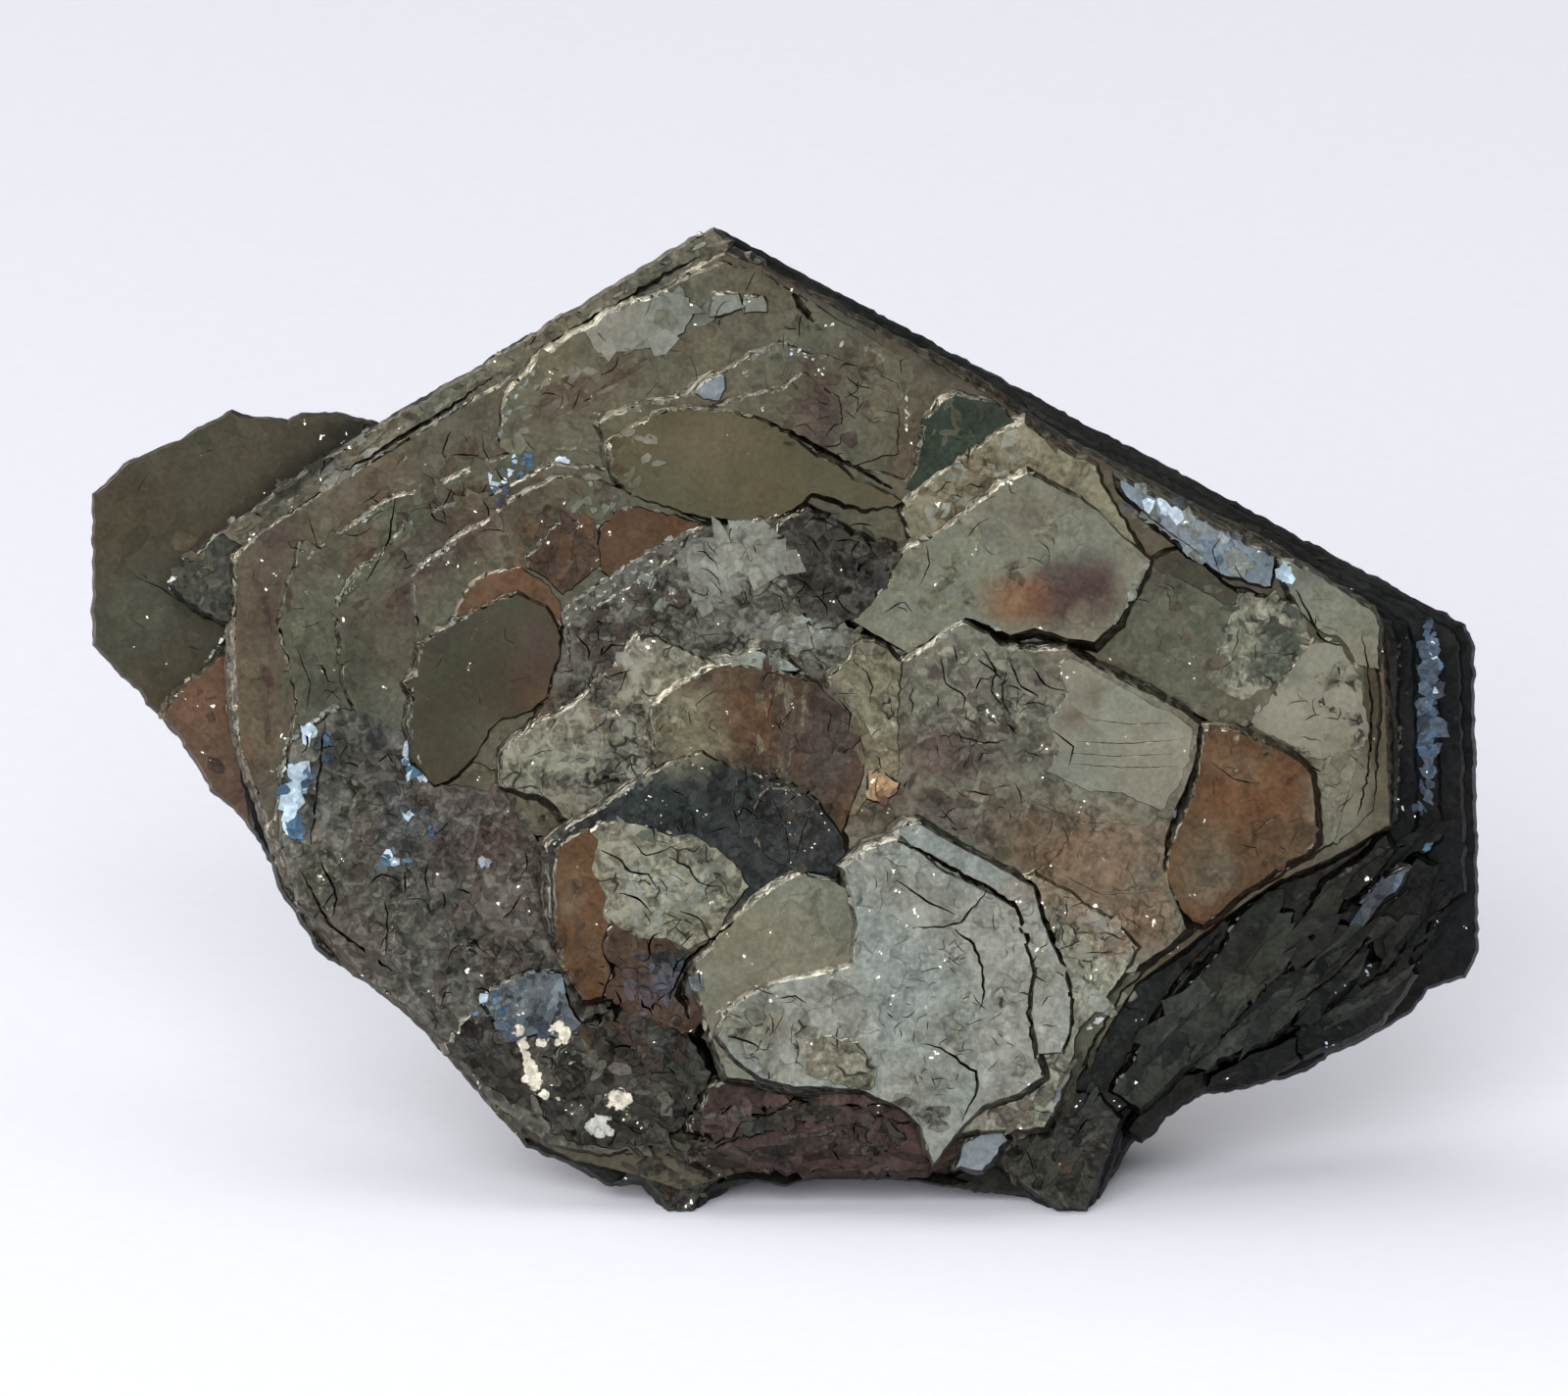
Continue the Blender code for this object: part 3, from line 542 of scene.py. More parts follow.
     (27.1, 24.2), (27.5, 25.9), (29, 29.5), (29.4, 31))),
    Plate("left_strip", "band", 16.4, 18.7, (0, 0.8), "flake", 0.06, ((3.3, 38.2), (4.5, 39.2), (5.5, 40.4),
     (6.3, 40.5), (8.2, 39), (8, 37.5), (8, 30.9), (6.2, 30), (5, 28), (2, 28), (2, 34))),
    Plate("sage_shelf", "crackled", 16.6, 18.2, (0.3, 0.4), "flake", 0.08, ((-20.3, 32.7), (-18, 34.5),
     (-15.2, 35.9), (-13.6, 37.6), (-12, 39), (-10.6, 41.2), (-9.8, 41.2), (-8.5, 40.4), (-5.5, 39),
     (0, 38.2), (-3, 28), (-14, 26), (-17, 29.2), (-20.4, 30.2))),
    Plate("pale_sliver", "pale", 17, 18.6, (0, 3), "flake", 0.03, ((-5.3, 39.2), (-3, 39.6), (-2, 39.9),
     (0, 39.1), (1, 38.5), (-1.5, 38.2), (-4.5, 38.6))),
    Plate("copper_shelf", "brown", 17.2, 18.95, (0.4, -0.4), "crystal", 0.05, ((-9.5, 35.6), (-8.8, 36.5),
     (-7.5, 37.4), (-5.2, 38.7), (-4, 38.9), (0, 38.2), (2.3, 37.3), (4, 35.8), (5, 34.9), (5.6, 32.5),
     (5.5, 31), (5, 29.8), (3, 24), (-9, 24))),
    Plate("slate_plate", "slate", 16.4, 19.4, (0.5, 0.5), "crystal", 0.05, ((-17.1, 25.8), (-16.5, 26.6),
     (-15, 27.6), (-13.7, 28.3), (-12, 29.5), (-10, 30.8), (-8.5, 31.7), (-6, 32.6), (-5, 32), (-3, 31.2),
     (-1, 30.8), (1, 30), (2, 29.3), (2.8, 28.2), (4, 26.5), (4.2, 25.5), (3.6, 23.7), (3.6, 18), (-3, 14),
     (-7, 16.8), (-12, 18.2), (-16, 18.8), (-16.8, 21), (-16.9, 23))),
    Plate("slate_copper", "hexagon", 16, 19.55, (0.5, 1.5), "flake", 0.05, ((-16.5, 25.6), (-15.6, 26.4),
     (-14.2, 27.1), (-13.5, 26.4), (-13.9, 24.4), (-13, 22.6), (-12.4, 20.8), (-13.2, 18.8), (-12.6, 17),
     (-13.2, 15.2), (-14.4, 15), (-15.8, 17.2), (-16.5, 21))),
    Plate("slate_sage", "crackled", 18.4, 19.62, (0.5, 0.5), "flake", 0.05, ((-14.7, 26.4), (-13.4, 27.5),
     (-11.6, 27.6), (-9.6, 27.2), (-8, 26.6), (-6.6, 26.8), (-5, 25.8), (-3.8, 24.8), (-2.6, 23),
     (-4, 21.4), (-5, 19.4), (-7, 18.6), (-8.6, 19.2), (-10.6, 19.2), (-12.8, 20.4), (-13.9, 22.4),
     (-14.8, 24.4))),
    Plate("slate_brown", "brown", 16, 19.1, (0.3, 9), "broken", 0.12, ((-12.6, 20.6), (-10.4, 19.7),
     (-8.6, 19.6), (-7, 19), (-5.6, 18.4), (-6.5, 17.6), (-6.6, 16.3), (-5.8, 13.4), (-6.6, 12.4),
     (-9, 13.2), (-11.2, 14), (-13, 15.4), (-12.4, 17), (-13, 18.8))),
    Plate("slate_disc", "slate", 18.4, 19.75, (0.3, 0.5), "flake", 0.06, ((-1.3, 30), (0.8, 29.9), (2, 29),
     (2.7, 28), (3.8, 26.4), (3.9, 25.3), (3.2, 24.2), (1, 24), (-0.9, 24.7), (-2, 26), (-2.3, 28),
     (-2, 29.4)), 0.95),
    Plate("right_smooth", "smooth", 17.6, 18.62, (0.4, 0.2), "flake", 0.03, ((19.4, 38.8), (20.4, 39.4),
     (23, 37.8), (25, 36.8), (28, 35.1), (29, 34.3), (28.8, 32), (27.8, 29.8), (26.8, 28.4), (24, 29.6),
     (21, 30), (18.6, 31.2), (19.4, 33), (18.6, 34.8), (20, 36.6))),
    Plate("peach_facet", "peach", 17, 18.95, (3, -3), "flake", 0.05, ((5.9, 31.2), (7, 31), (8.1, 30.4),
     (7.8, 29.5), (6.8, 29), (5.8, 29.3))),
    Plate("flake_shelf", "shelf_pale", 17.6, 19.35, (0.2, 0), "flake", 0.06, ((17.7, 23.8), (20, 22.7),
     (21.8, 21.4), (23.5, 20.5), (25.1, 18.7), (24, 16.8), (22.4, 14.4), (20.8, 13), (20.2, 9.6),
     (18.4, 5.8), (12, 5.4), (8, 20))),
    Plate("front_plate", "sage", 16.6, 20, (0.6, 0.8), "crystal", 0.05, ((-6.6, 16.3), (-6.5, 17.7),
     (-5.3, 18.5), (-4.4, 20), (-2.3, 21.9), (-1, 22.8), (0.8, 23.9), (3.5, 23.4), (9, 20), (9, 9),
     (6.2, 8.3), (3, 8.7), (0, 8.7), (-2, 9.1), (-4.2, 9.4), (-5.3, 12))),
    Plate("white_frame", "white", 17.6, 20.15, (0, 0), "crystal", 0.04, ((7.6, 26.6), (8.5, 27.4),
     (9.5, 27.5), (12, 26), (14.5, 24.8), (17.6, 23), (18.3, 20.4), (19.8, 17), (20.3, 15.3), (20.2, 12.6),
     (19.6, 11.2), (17.6, 11), (12, 20))),
    Plate("white_plate", "white", 17.8, 20.65, (0.3, 0.3), "crystal", 0.05, ((4, 24.4), (6, 25.8),
     (8, 26.4), (9.8, 25.3), (11, 24.2), (14, 22.8), (16.3, 21.5), (17, 19.5), (17.8, 17), (17.3, 14),
     (17.8, 11), (18.3, 9.5), (16.5, 8.3), (14, 7.4), (12.2, 5.5), (10.5, 3.3), (9.5, 6), (8, 7.3),
     (5.2, 8.6), (0.6, 8.8), (-1.8, 9.3), (-3.6, 10.6), (-4.9, 12.4), (-4.3, 14), (-2.6, 15.3),
     (-0.4, 16.3), (2.4, 16.7), (4.7, 17.4), (5.1, 20.4))),
    Plate("front_scar", "crackled", 19, 20.85, (0.4, 0.4), "broken", 0.08, ((1.4, 12), (2.5, 12.6),
     (5, 11.8), (6.2, 10.9), (6.3, 9.6), (6, 8.6), (3.4, 8.9), (1.8, 9.4), (1.2, 10.6)), 0.88),
    Plate("copper_corner", "copper", 16.6, 19.2, (0, -2), "flake", 0.06, ((13, 7), (16, 8.6), (18.4, 8.6),
     (17, 6.6), (15.8, 6), (13.8, 5.4))),
    Plate("grey_corner", "blue_grey", 16, 18.2, (2, -3), "flake", 0.06, ((12.6, 4.6), (15, 5.9),
     (15.8, 4.9), (14, 2.8), (12, 2.9))),
    Plate("brown_sill", "violet", 14.6, 17.4, (0, -3), "broken", 0.18, ((-6.4, 3.4), (-4.6, 7), (-1, 9),
     (6, 8.6), (9.6, 6.4), (13.8, 7), (15.4, 4.6), (9.6, 2.8), (-2, 2.6)), 0.95),
    Plate("sill_step", "violet", 15.6, 18.2, (0, -4), "broken", 0.14, ((-6.8, 5.6), (-5.4, 8.4),
     (-3.4, 9.6), (-1, 9.9), (3, 9.5), (7, 8.4), (9.4, 6.6), (8, 6.4), (5, 7.6), (1, 7.9), (-2.6, 6.9),
     (-5, 5.2)), 0.8),
    Plate("sill_bead", "dark_rough", 15.6, 17.9, (0, -5), "broken", 0.10, ((-5.6, 4.4), (-3, 6.2), (1, 7.3),
     (4, 7.3), (7, 6.4), (8.6, 5), (4, 6.2), (0.6, 6.2), (-3, 5)), 1),
    Plate("bottom_lip", "rim_edge", 12.6, 14.9, (0, -9), "foot", 0.12, ((-5, 1.6), (-3.6, 3.2), (2, 3.4),
     (9.6, 3.2), (13.2, 1.8), (12, 1.4), (8, 2), (3, 2.3), (0, 1.5), (-2.5, 1.9)), 0.8),
    Plate("left_toe", "toe", 12.8, 15.3, (0, -5), "foot", 0.2, ((-12.4, 1.7), (-10.2, 5), (-6, 5.4),
     (-4, 3.4), (-5.6, 1.2), (-6.6, -0.4), (-8.5, -0.4), (-10.3, 1.8))),
    Plate("dark_plate", "druse_dark", 15.4, 17.35, (0, -1.5), "broken", 0.12, ((-22.6, 13.6), (-19.6, 12.9),
     (-18.6, 10.6), (-18, 8.2), (-19.6, 7.6), (-21.6, 8.9), (-24.2, 11.6))),
    Plate("blue_patch", "blue_grey", 15.4, 17.45, (1, -1), "flake", 0.10, ((-21.9, 15), (-20, 16.2),
     (-18, 16.9), (-16, 16.8), (-15.6, 14.4), (-14.2, 12.6), (-15.6, 11.9), (-17.2, 12.5), (-19.2, 12.2),
     (-20.6, 12.9)), 0.64),
    Plate("toe_plate", "toe", 15.4, 17.8, (0, 6), "broken", 0.22, ((-17.6, 8.2), (-15.2, 12.2),
     (-11.2, 14.4), (-7.4, 13.4), (-5.4, 9.8), (-6.8, 6.6), (-9, 4.9), (-13.2, 4.4), (-16.8, 5.4))),
    Plate("right_foot", "toe", 13, 15.8, (-2, -4), "foot", 0.22, ((14.2, 3.2), (15.6, 5.6), (18.4, 6.8),
     (20.4, 8.6), (22.6, 8.2), (24.2, 6.4), (22.6, 2.6), (21.6, -0.3), (19.4, -0.3), (17.2, 1.2))),
    Plate("slope_1", "slope_light", 12.4, 14.9, (-3, 3), "flake", 0.14, ((32.5, 21), (36.3, 21.2),
     (35.5, 17.5), (34, 15.5), (32, 14.8), (30.5, 12), (28, 9.6), (25.2, 6.9), (23.2, 8.4), (25.4, 11.4),
     (28.2, 15.2), (31, 18.2)), 0.92),
    Plate("slope_2", "slope_light", 10.6, 13.2, (-4, 2), "flake", 0.12, ((36, 17), (37.3, 15), (35.5, 12.7),
     (31, 10.5), (30, 9.7), (31.6, 12.6), (34.2, 14.8))),
    Plate("slope_3", "slope", 10, 13, (-5, 2), "flake", 0.14, ((38.2, 18), (39.5, 20.2), (42, 20.2),
     (41.4, 17.8), (40, 15.6), (38, 14), (36.6, 13.4), (37.4, 16)), 1.05),
    Plate("slope_blue", "slate_blue", 10, 13.1, (2, 2), "flake", 0.06, ((41, 21.8), (42.2, 21.3),
     (43.6, 22.6), (44.7, 24.3), (43.2, 23.9)), 1.1),
    Plate("slope_4", "slope", 8.2, 11.4, (-5, 0), "flake", 0.14, ((41.6, 20.6), (43.4, 21.8), (45.2, 25),
     (46.4, 24.4), (45.2, 20.6), (43.4, 17.6), (42.2, 18)), 0.85),
    Plate("slope_5", "slope", 6.4, 10.2, (-3, 3), "flake", 0.16, ((38.2, 14.4), (41.2, 17.2), (44.2, 18.2),
     (45.2, 16.6), (42.6, 13.2), (40.2, 11.9), (37.2, 10.8), (35.8, 11.5)), 0.8),
    Plate("slope_6", "slope", 6.4, 10.9, (-2, 4), "flake", 0.16, ((30.4, 9.4), (33.6, 11), (36.6, 12.2),
     (36.6, 10.6), (33.8, 9.4), (30.2, 8.6)), 0.75),
    Plate("slope_7", "slope", 9, 12.9, (-3, 2), "flake", 0.16, ((24.4, 5.6), (27.6, 9.2), (30, 9.8),
     (29.6, 8.4), (27.2, 7), (25.4, 4.8)), 0.8),
    Plate("slope_top", "rim_edge", 12.6, 14.7, (-4, 3), "flake", 0.16, ((37.2, 21), (38.6, 23.2),
     (41, 24.8), (42.8, 26.6), (43.4, 25.6), (40.4, 22.6), (38.6, 20.4), (37.4, 18.8))),
)

# The broken back and the heel grow away from the face.
BACK_PLATES = (
    Plate("back_ledge", "back", 0.6, -2.8, (0, 0), "broken", 0.25, ((-24, 16), (-10, 6.4), (8, 4.6),
     (22, 7), (34, 14.6), (42.4, 26), (38.6, 41), (22, 50), (4, 58), (-12, 56.4), (-25, 46.4), (-31, 32))),
    Plate("back_boss", "back", -1.6, -5, (0, 0), "broken", 0.25, ((-14, 15), (1, 8), (17, 10), (27, 18),
     (30, 28), (22, 38), (8, 46), (-7, 44.6), (-17, 36), (-20, 24))),
    Plate("heel", "back_dark", 6, -4.2, (0, 0), "heel", 0.2, ((-7, 6.6), (-5.4, 0.6), (4, -0.4),
     (15.6, 0.6), (18.6, 6), (13, 13), (-2, 13))),
    Plate("back_wing", "back", 2.4, 0.4, (0, 0), "broken", 0.12, ((-48.4, 41.2), (-48.2, 50.4), (-44, 53.4),
     (-38, 55), (-33, 50), (-36, 34), (-43.6, 35.4))),
    Plate("back_step_1", "back", -1.6, -3.7, (0.6, 0.4), "broken", 0.2, ((20, 22), (35, 22), (38.6, 30),
     (35, 40), (24, 45.4), (14, 46)), 0.9),
    Plate("back_step_2", "back", -1.6, -3.5, (-0.4, 0.6), "broken", 0.2, ((-27, 26), (-14, 30), (-10, 44),
     (-13, 52.4), (-22, 46), (-28, 34)), 1.1),
    Plate("back_step_3", "back_dark", -1.8, -4.3, (0.5, -0.6), "broken", 0.2, ((-6, 40), (8, 38), (14, 46),
     (6, 54.4), (-7, 53.6))),
    Plate("back_boss_1", "back", -4, -5.8, (0.8, 0.3), "broken", 0.2, ((2, 12), (16, 12.6), (23.4, 20),
     (20, 30), (9, 32), (3, 22)), 0.92),
    Plate("back_boss_2", "back_dark", -4, -5.7, (-0.5, 0.5), "broken", 0.2, ((-16, 24), (-3, 20), (2, 30),
     (-2, 41), (-11, 38)), 1.1),
    Plate("back_rim_1", "back", 0.4, -1.6, (0, 0), "broken", 0.16, ((36, 20), (45.4, 22), (47.4, 33),
     (46.4, 39), (34, 45.6), (30, 40)), 1.05),
    Plate("back_rim_2", "back_dark", 0.4, -1.2, (0, 0), "broken", 0.16, ((-13, 56), (-2, 57), (14, 52),
     (24, 50.6), (8, 59.6), (-4.6, 66.4))),
    Plate("back_rim_3", "back", 0.4, -1.8, (0, 0), "broken", 0.16, ((-32, 24), (-24, 18), (-16, 11),
     (-18, 30), (-26, 44), (-34.4, 42)), 0.9),
)

# How an edge is made: ragged line, slope of its wall, growth lines, and whether the outline is
# the foot of the wall rather than its top.
EDGES = {
    "crystal": (0.05, 0.42, 0.07, False),
    "flake": (0.11, 0.36, 0.06, False),
    "broken": (0.28, 0.45, 0.16, False),
    "foot": (0.10, 0.20, 0.10, True),
    "heel": (0.20, 0.06, 0.10, True),
}
EDGE_STEP = 0.40                    # spacing of points along an edge
FACE_STEP = 0.85                    # spacing of points over a plate
BACK_STEP = 1.3                     # the same on the back
JITTER = 0.3                        # how far those points stray, as a share of their spacing
CLEARANCE = 0.55                    # and how near they come to the plate's edge
TOUCHING = 1e-7                     # points this near to each other are one
COARSE = (0.9, 1.6)                 # a ragged edge's waves: how many a millimetre, and reach
FINE = (2.9, 1.4)                   # and the finer ones on top of them
BROAD_WAVES = 0.16                  # of a plate's top, how many a millimetre
CLOSE_WAVES = 0.8                   # and the closer ones on top of them
WALL_LEVELS = (0.0, 0.16, 0.45, 0.85, 1.3, 1.9, 2.6, 3.4)   # depths of a wall's rings
LAST_STEP = 0.3                     # the lowest of them lies at least this far above the back
LIGHT_SIDE = (-0.77, 0.64)          # the face direction that the brightest light comes from
LIT_SPREAD = 1.3                    # how much gentler the walls slope on that side
LIT_DEPTH = 0.6                     # and down to what depth
LIP_HIGHLIGHT = 1.25                    # painted highlight: a plate's top wall ring is painted brighter than the rest of its wall
WALL_FOOT = 1.6                     # depth at which a wall stops spreading
LIP_INSET = 0.05                    # how far a wall's top lies inside the drawn outline
FLUTE = 0.35                        # how deep the flutes down a wall are
FLUTE_WAVES = 1.7                   # how many of them a millimetre
SLOPE_WAVES = 0.13                  # how often a wall gets gentler and steeper again
STEP_WAVES = 0.10                   # how often its growth lines come and go, along it
DOWN_WAVES = 2.4                    # and down it
EASES = (1.0, 0.6, 0.3, 0.1, 0.0)   # how far an edge that would cross itself is calmed
DEEPEST = -30.0                     # below everything that is drawn
HIDDEN = 0.5                        # a top this far under other plates needs no inner points


def ragged(outline, amount, seed):
    """Return an outline as close points, its sides made uneven."""
    corners = np.array(outline, float)
    made = []
    for index, corner in enumerate(corners):
        run = corners[(index + 1) % len(corners)] - corner
        length = np.hypot(*run)
        count = max(1, round(length / EDGE_STEP))
        across = np.array((run[1], -run[0])) / length
        for step in range(count):
            point = corner + run * step / count
            coarse = noise.noise(Vector((point[0] * COARSE[0], point[1] * COARSE[0], seed)))
            fine = noise.noise(Vector((point[0] * FINE[0], point[1] * FINE[0], seed + 40.0)))
            made.append(point + across * amount * (coarse * COARSE[1] + fine * FINE[1]))
    return np.array(made)


def turning(points):
    """Return twice the signed area inside a closed line."""
    x, y = points.T
    return float(np.sum(x * np.roll(y, -1) - np.roll(x, -1) * y))


def outward(points):
    """Return the outward direction at each point of a closed line that runs counterclockwise."""
    ahead = np.roll(points, -2, 0) - np.roll(points, 2, 0)
    across = np.stack((ahead[:, 1], -ahead[:, 0]), 1)
    across /= np.maximum(np.hypot(*across.T), 1e-6)[:, None]
    nearby = across + np.roll(across, 1, 0) + np.roll(across, -1, 0)
    return nearby / np.maximum(np.hypot(*nearby.T), 1e-6)[:, None]


def inside(points, line):
    """Return which points lie inside a closed line."""
    x, y = points.T
    hit = np.zeros(len(points), bool)
    for (x0, y0), (x1, y1) in zip(line, np.roll(line, -1, 0)):
        if y0 != y1:
            level = (y0 > y) != (y1 > y)
            hit ^= level & (x < (x1 - x0) * (y - y0) / (y1 - y0) + x0)
    return hit


def triangulated(line, inner):
    """Return the points and triangles of a closed line and of points inside it."""
    count = len(line)
    sides = [(index, (index + 1) % count) for index in range(count)]
    places = [Vector(point) for point in line.tolist() + inner]
    found = delaunay_2d_cdt(places, sides, [], 0, TOUCHING, True)
    return found[0], found[2]


def crosses(line):
    """Return whether a closed line crosses itself, which adds a point where it does."""
    return len(triangulated(line, [])[0]) != len(line)


def filled(line, inner, name):
    """Return the triangles that fill a closed line through its own and the inner points."""
    points, faces = triangulated(line, inner.tolist())
    if len(points) != len(line) + len(inner):
        raise RuntimeError(f"{name}: its outline crosses itself")
    flat = np.array([tuple(point) for point in points])
    faces = np.array(faces)
    return faces[inside(flat[faces].mean(1), line)]


def spread_inside(line, spacing, rng):
    """Return points spread inside a closed line, clear of it."""
    low = line.min(0)
    high = line.max(0)
    grid = np.mgrid[low[0]:high[0]:spacing, low[1]:high[1]:spacing].reshape(2, -1).T
    grid = grid + rng.uniform(-JITTER, JITTER, grid.shape) * spacing
    grid = grid[inside(grid, line)]
    if not len(grid):
        return grid
    tree = kdtree.KDTree(len(line))
    for index, (x, y) in enumerate(line):
        tree.insert((x, y, 0.0), index)
    tree.balance()
    clear = [tree.find((x, y, 0.0))[2] > spacing * CLEARANCE for x, y in grid]
    return grid[np.array(clear)]


def noise_at(points, scale, seed):
    """Return smooth noise at each of some places."""
    return np.array([noise.noise(Vector((x * scale, y * scale, seed))) for x, y in points])


def way_out(plate):
    """Return 1 for a plate that grows towards the front, and -1 towards the back."""
    return 1.0 if plate.front > plate.back else -1.0


def plate_top(plate, points):
    """Return w of a plate's top at each of some places: tilted, with broad and close waves."""
    middle = np.mean(plate.outline, 0)
    rise = (points - middle) @ np.tan(np.radians(plate.tilt))
    broad = noise_at(points, BROAD_WAVES, plate.front * 3.0)
    close = noise_at(points, CLOSE_WAVES, plate.front * 7.0)
    return plate.front + rise + plate.relief * (broad * 1.2 + close * 0.5)


def cover(points, plates, way=1.0):
    """Return the height and the number of the outermost plate at each of some places."""
    high = np.full(len(points), DEEPEST)
    number = np.zeros(len(points), int)
    for index, plate in enumerate(plates):
        line = np.array(plate.outline)
        near = ((points > line.min(0)) & (points < line.max(0))).all(1)
        if way_out(plate) != way or not near.any():
            continue
        hit = np.flatnonzero(near)[inside(points[near], line)]
        top = way * plate_top(plate, points[hit]) if len(hit) else np.empty(0)
        above = top > high[hit]
        high[hit[above]] = top[above]
        number[hit[above]] = index
    return high, number


def ground(points, plates, way=1.0):
    """Return how far out the surface stands at each of some places, on one side."""
    return cover(points, plates, way)[0]


# What a face is, in one whole number: its finish, the finish it grew on, its shade in steps,
# whether it is a wall, and whether it is a grain's.
FIELD = 64
SHADE_TOP = 2.0


def face_kind(finish, wall=0, host=None, shade=1.0, grainy=0):
    """Return the number that tells what a face is."""
    level = round(min(max(shade / SHADE_TOP, 0.0), 1.0) * (FIELD - 1))
    number = FINISH_NAMES.index(finish)
    below = FINISH_NAMES.index(host or finish)
    return number + FIELD * (below + FIELD * (level + FIELD * (wall + 2 * grainy)))


def sway(arc, waves, layer, seed):
    """Return smooth noise at some lengths along a line, with so many waves a millimetre."""
    return np.array([noise.noise(Vector((length * waves, layer, seed))) for length in arc])


def wall_rings(plate, seed):
    """Return the rings of points that run round a plate, from its top edge to its back."""
    amount, slope, lines, foot = EDGES[plate.edge]
    way = way_out(plate)
    thick = abs(plate.front - plate.back)
    steps = WALL_LEVELS[::2] if foot else WALL_LEVELS
    levels = [level for level in steps if level < thick - LAST_STEP] + [thick]
    for ease in EASES:
        rim = ragged(plate.outline, amount * ease, seed)
        if turning(rim) < 0:
            rim = rim[::-1]
        out = outward(rim) * ease
        facing = LIT_SPREAD * np.maximum(out @ np.array(LIGHT_SIDE), 0.0)
        arc = np.cumsum(np.hypot(*(rim - np.roll(rim, 1, 0)).T))
        flute = sway(arc, FLUTE_WAVES, 3.0, seed)
        widen = 0.75 + 0.8 * sway(arc, SLOPE_WAVES, 9.0, seed)
        inset = slope * min(thick, WALL_FOOT) if foot else LIP_INSET
        tops = way * plate_top(plate, rim)
        rings = []
        for level in levels:
            uneven = sway(arc, STEP_WAVES, level * DOWN_WAVES, seed)
            swell = np.full(len(rim), slope * min(level, WALL_FOOT))
            if not foot:
                swell = swell * widen + slope * (min(level, LIT_DEPTH) * facing
                                                 + min(level, 1.0) * FLUTE * flute)
            swell += lines * uneven * (level > 0.0) - inset
            height = np.maximum(tops - level, way * plate.back)
            if level == thick:
                height = np.full(len(rim), way * plate.back)
            rings.append(np.column_stack((rim + out * swell[:, None], way * height)))
        if not crosses(rings[0][:, :2]) and not crosses(rings[-1][:, :2]):
            return rings
    raise RuntimeError(f"{plate.name}: its outline crosses itself")


def plate_solid(plate, seed, rng, spacing, others=()):
    """Return a plate as one closed part: top, stepped wall and flat back."""
    way = way_out(plate)
    rings = wall_rings(plate, seed)
    count = len(rings[0])
    line = rings[0][:, :2]
    inner = spread_inside(line, spacing, rng)
    if len(inner) and others:
        inner = inner[ground(inner, others, way) < way * plate_top(plate, inner) + HIDDEN]
    heights = plate_top(plate, inner).reshape(-1)
    top = np.concatenate((rings[0], np.column_stack((inner, heights))))
    top_faces = filled(line, inner, plate.name)
    faces = [top_faces]
    kinds = [np.full(len(top_faces), face_kind(plate.finish, shade=plate.shade))]
    loop = np.arange(count)
    following = np.roll(loop, -1)
    upper = 0
    lip = len(rings) - 2
    for offset in len(top) + count * np.arange(len(rings) - 1):
        faces.append(np.column_stack((upper + loop, offset + loop, offset + following)))
        faces.append(np.column_stack((upper + loop, offset + following, upper + following)))
        # the wall's top ring gets the painted highlight along the plate's edge
        bright = LIP_HIGHLIGHT if upper == 0 and lip else 1.0
        kinds.append(np.full(2 * count, face_kind(plate.finish, 1, shade=plate.shade * bright)))
        upper = offset
    base = filled(rings[-1][:, :2], np.empty((0, 2)), plate.name)[:, ::-1] + upper
    faces.append(base)
    kinds.append(np.full(len(base), face_kind("back")))
    triangles = np.concatenate(faces)
    if way < 0:
        triangles = triangles[:, ::-1]
    return np.concatenate([top] + rings[1:]), triangles, np.concatenate(kinds)


# ---------------------------------------------------------------- chips, beads and cracks

CHIP_SIDES = (5, 9)                 # at least, and fewer than
CHIP_RAGGED = 0.34                  # how far its corners stray, as a share of their spacing
CHIP_REACH = (0.55, 1.25)           # how far out they lie, as a share of its size
CHIP_BEVEL = 0.05                   # how far its top is drawn in, at most a quarter of its size
CHIP_ROOT = 0.25                    # how deep its foot reaches into the surface
CRYSTAL_TURN = 60.0                 # the crystal's own directions lie this far apart, in degrees
SPIN_STRAY = 14.0                   # and a chip strays this far from them
LONG_STRAY = 9.0                    # and a splinter's from its zone's direction
CHIP_STRETCH = (0.35, 0.85)         # a chip's width, as a share of its length
LONG_THIN = 0.45                    # splinters are narrower by this
CHIP_SHADES = (0.84, 1.16)          # how dark to how light they are
BEAD_SHADES = (0.62, 1.12)
TILT_REACH = 0.4                    # how far to each side the surface's lean is read
STEEPEST = 0.08                     # a rise of more than this a millimetre is a step, and is cut off
ALL_ROUND = 8                       # how many directions are tried for the surface's end
ROUND_REACH = 1.35                  # how far out, in sizes of the chip
LONG_REACH = 1.1                    # the same for a splinter
BEAD_REACH = 1.3                    # and for a small grain


def turned_by(degrees):
    """Return the matrix that turns rows of places counterclockwise."""
    angle = math.radians(degrees)
    return np.array(((math.cos(angle), math.sin(angle)), (-math.sin(angle), math.cos(angle))))


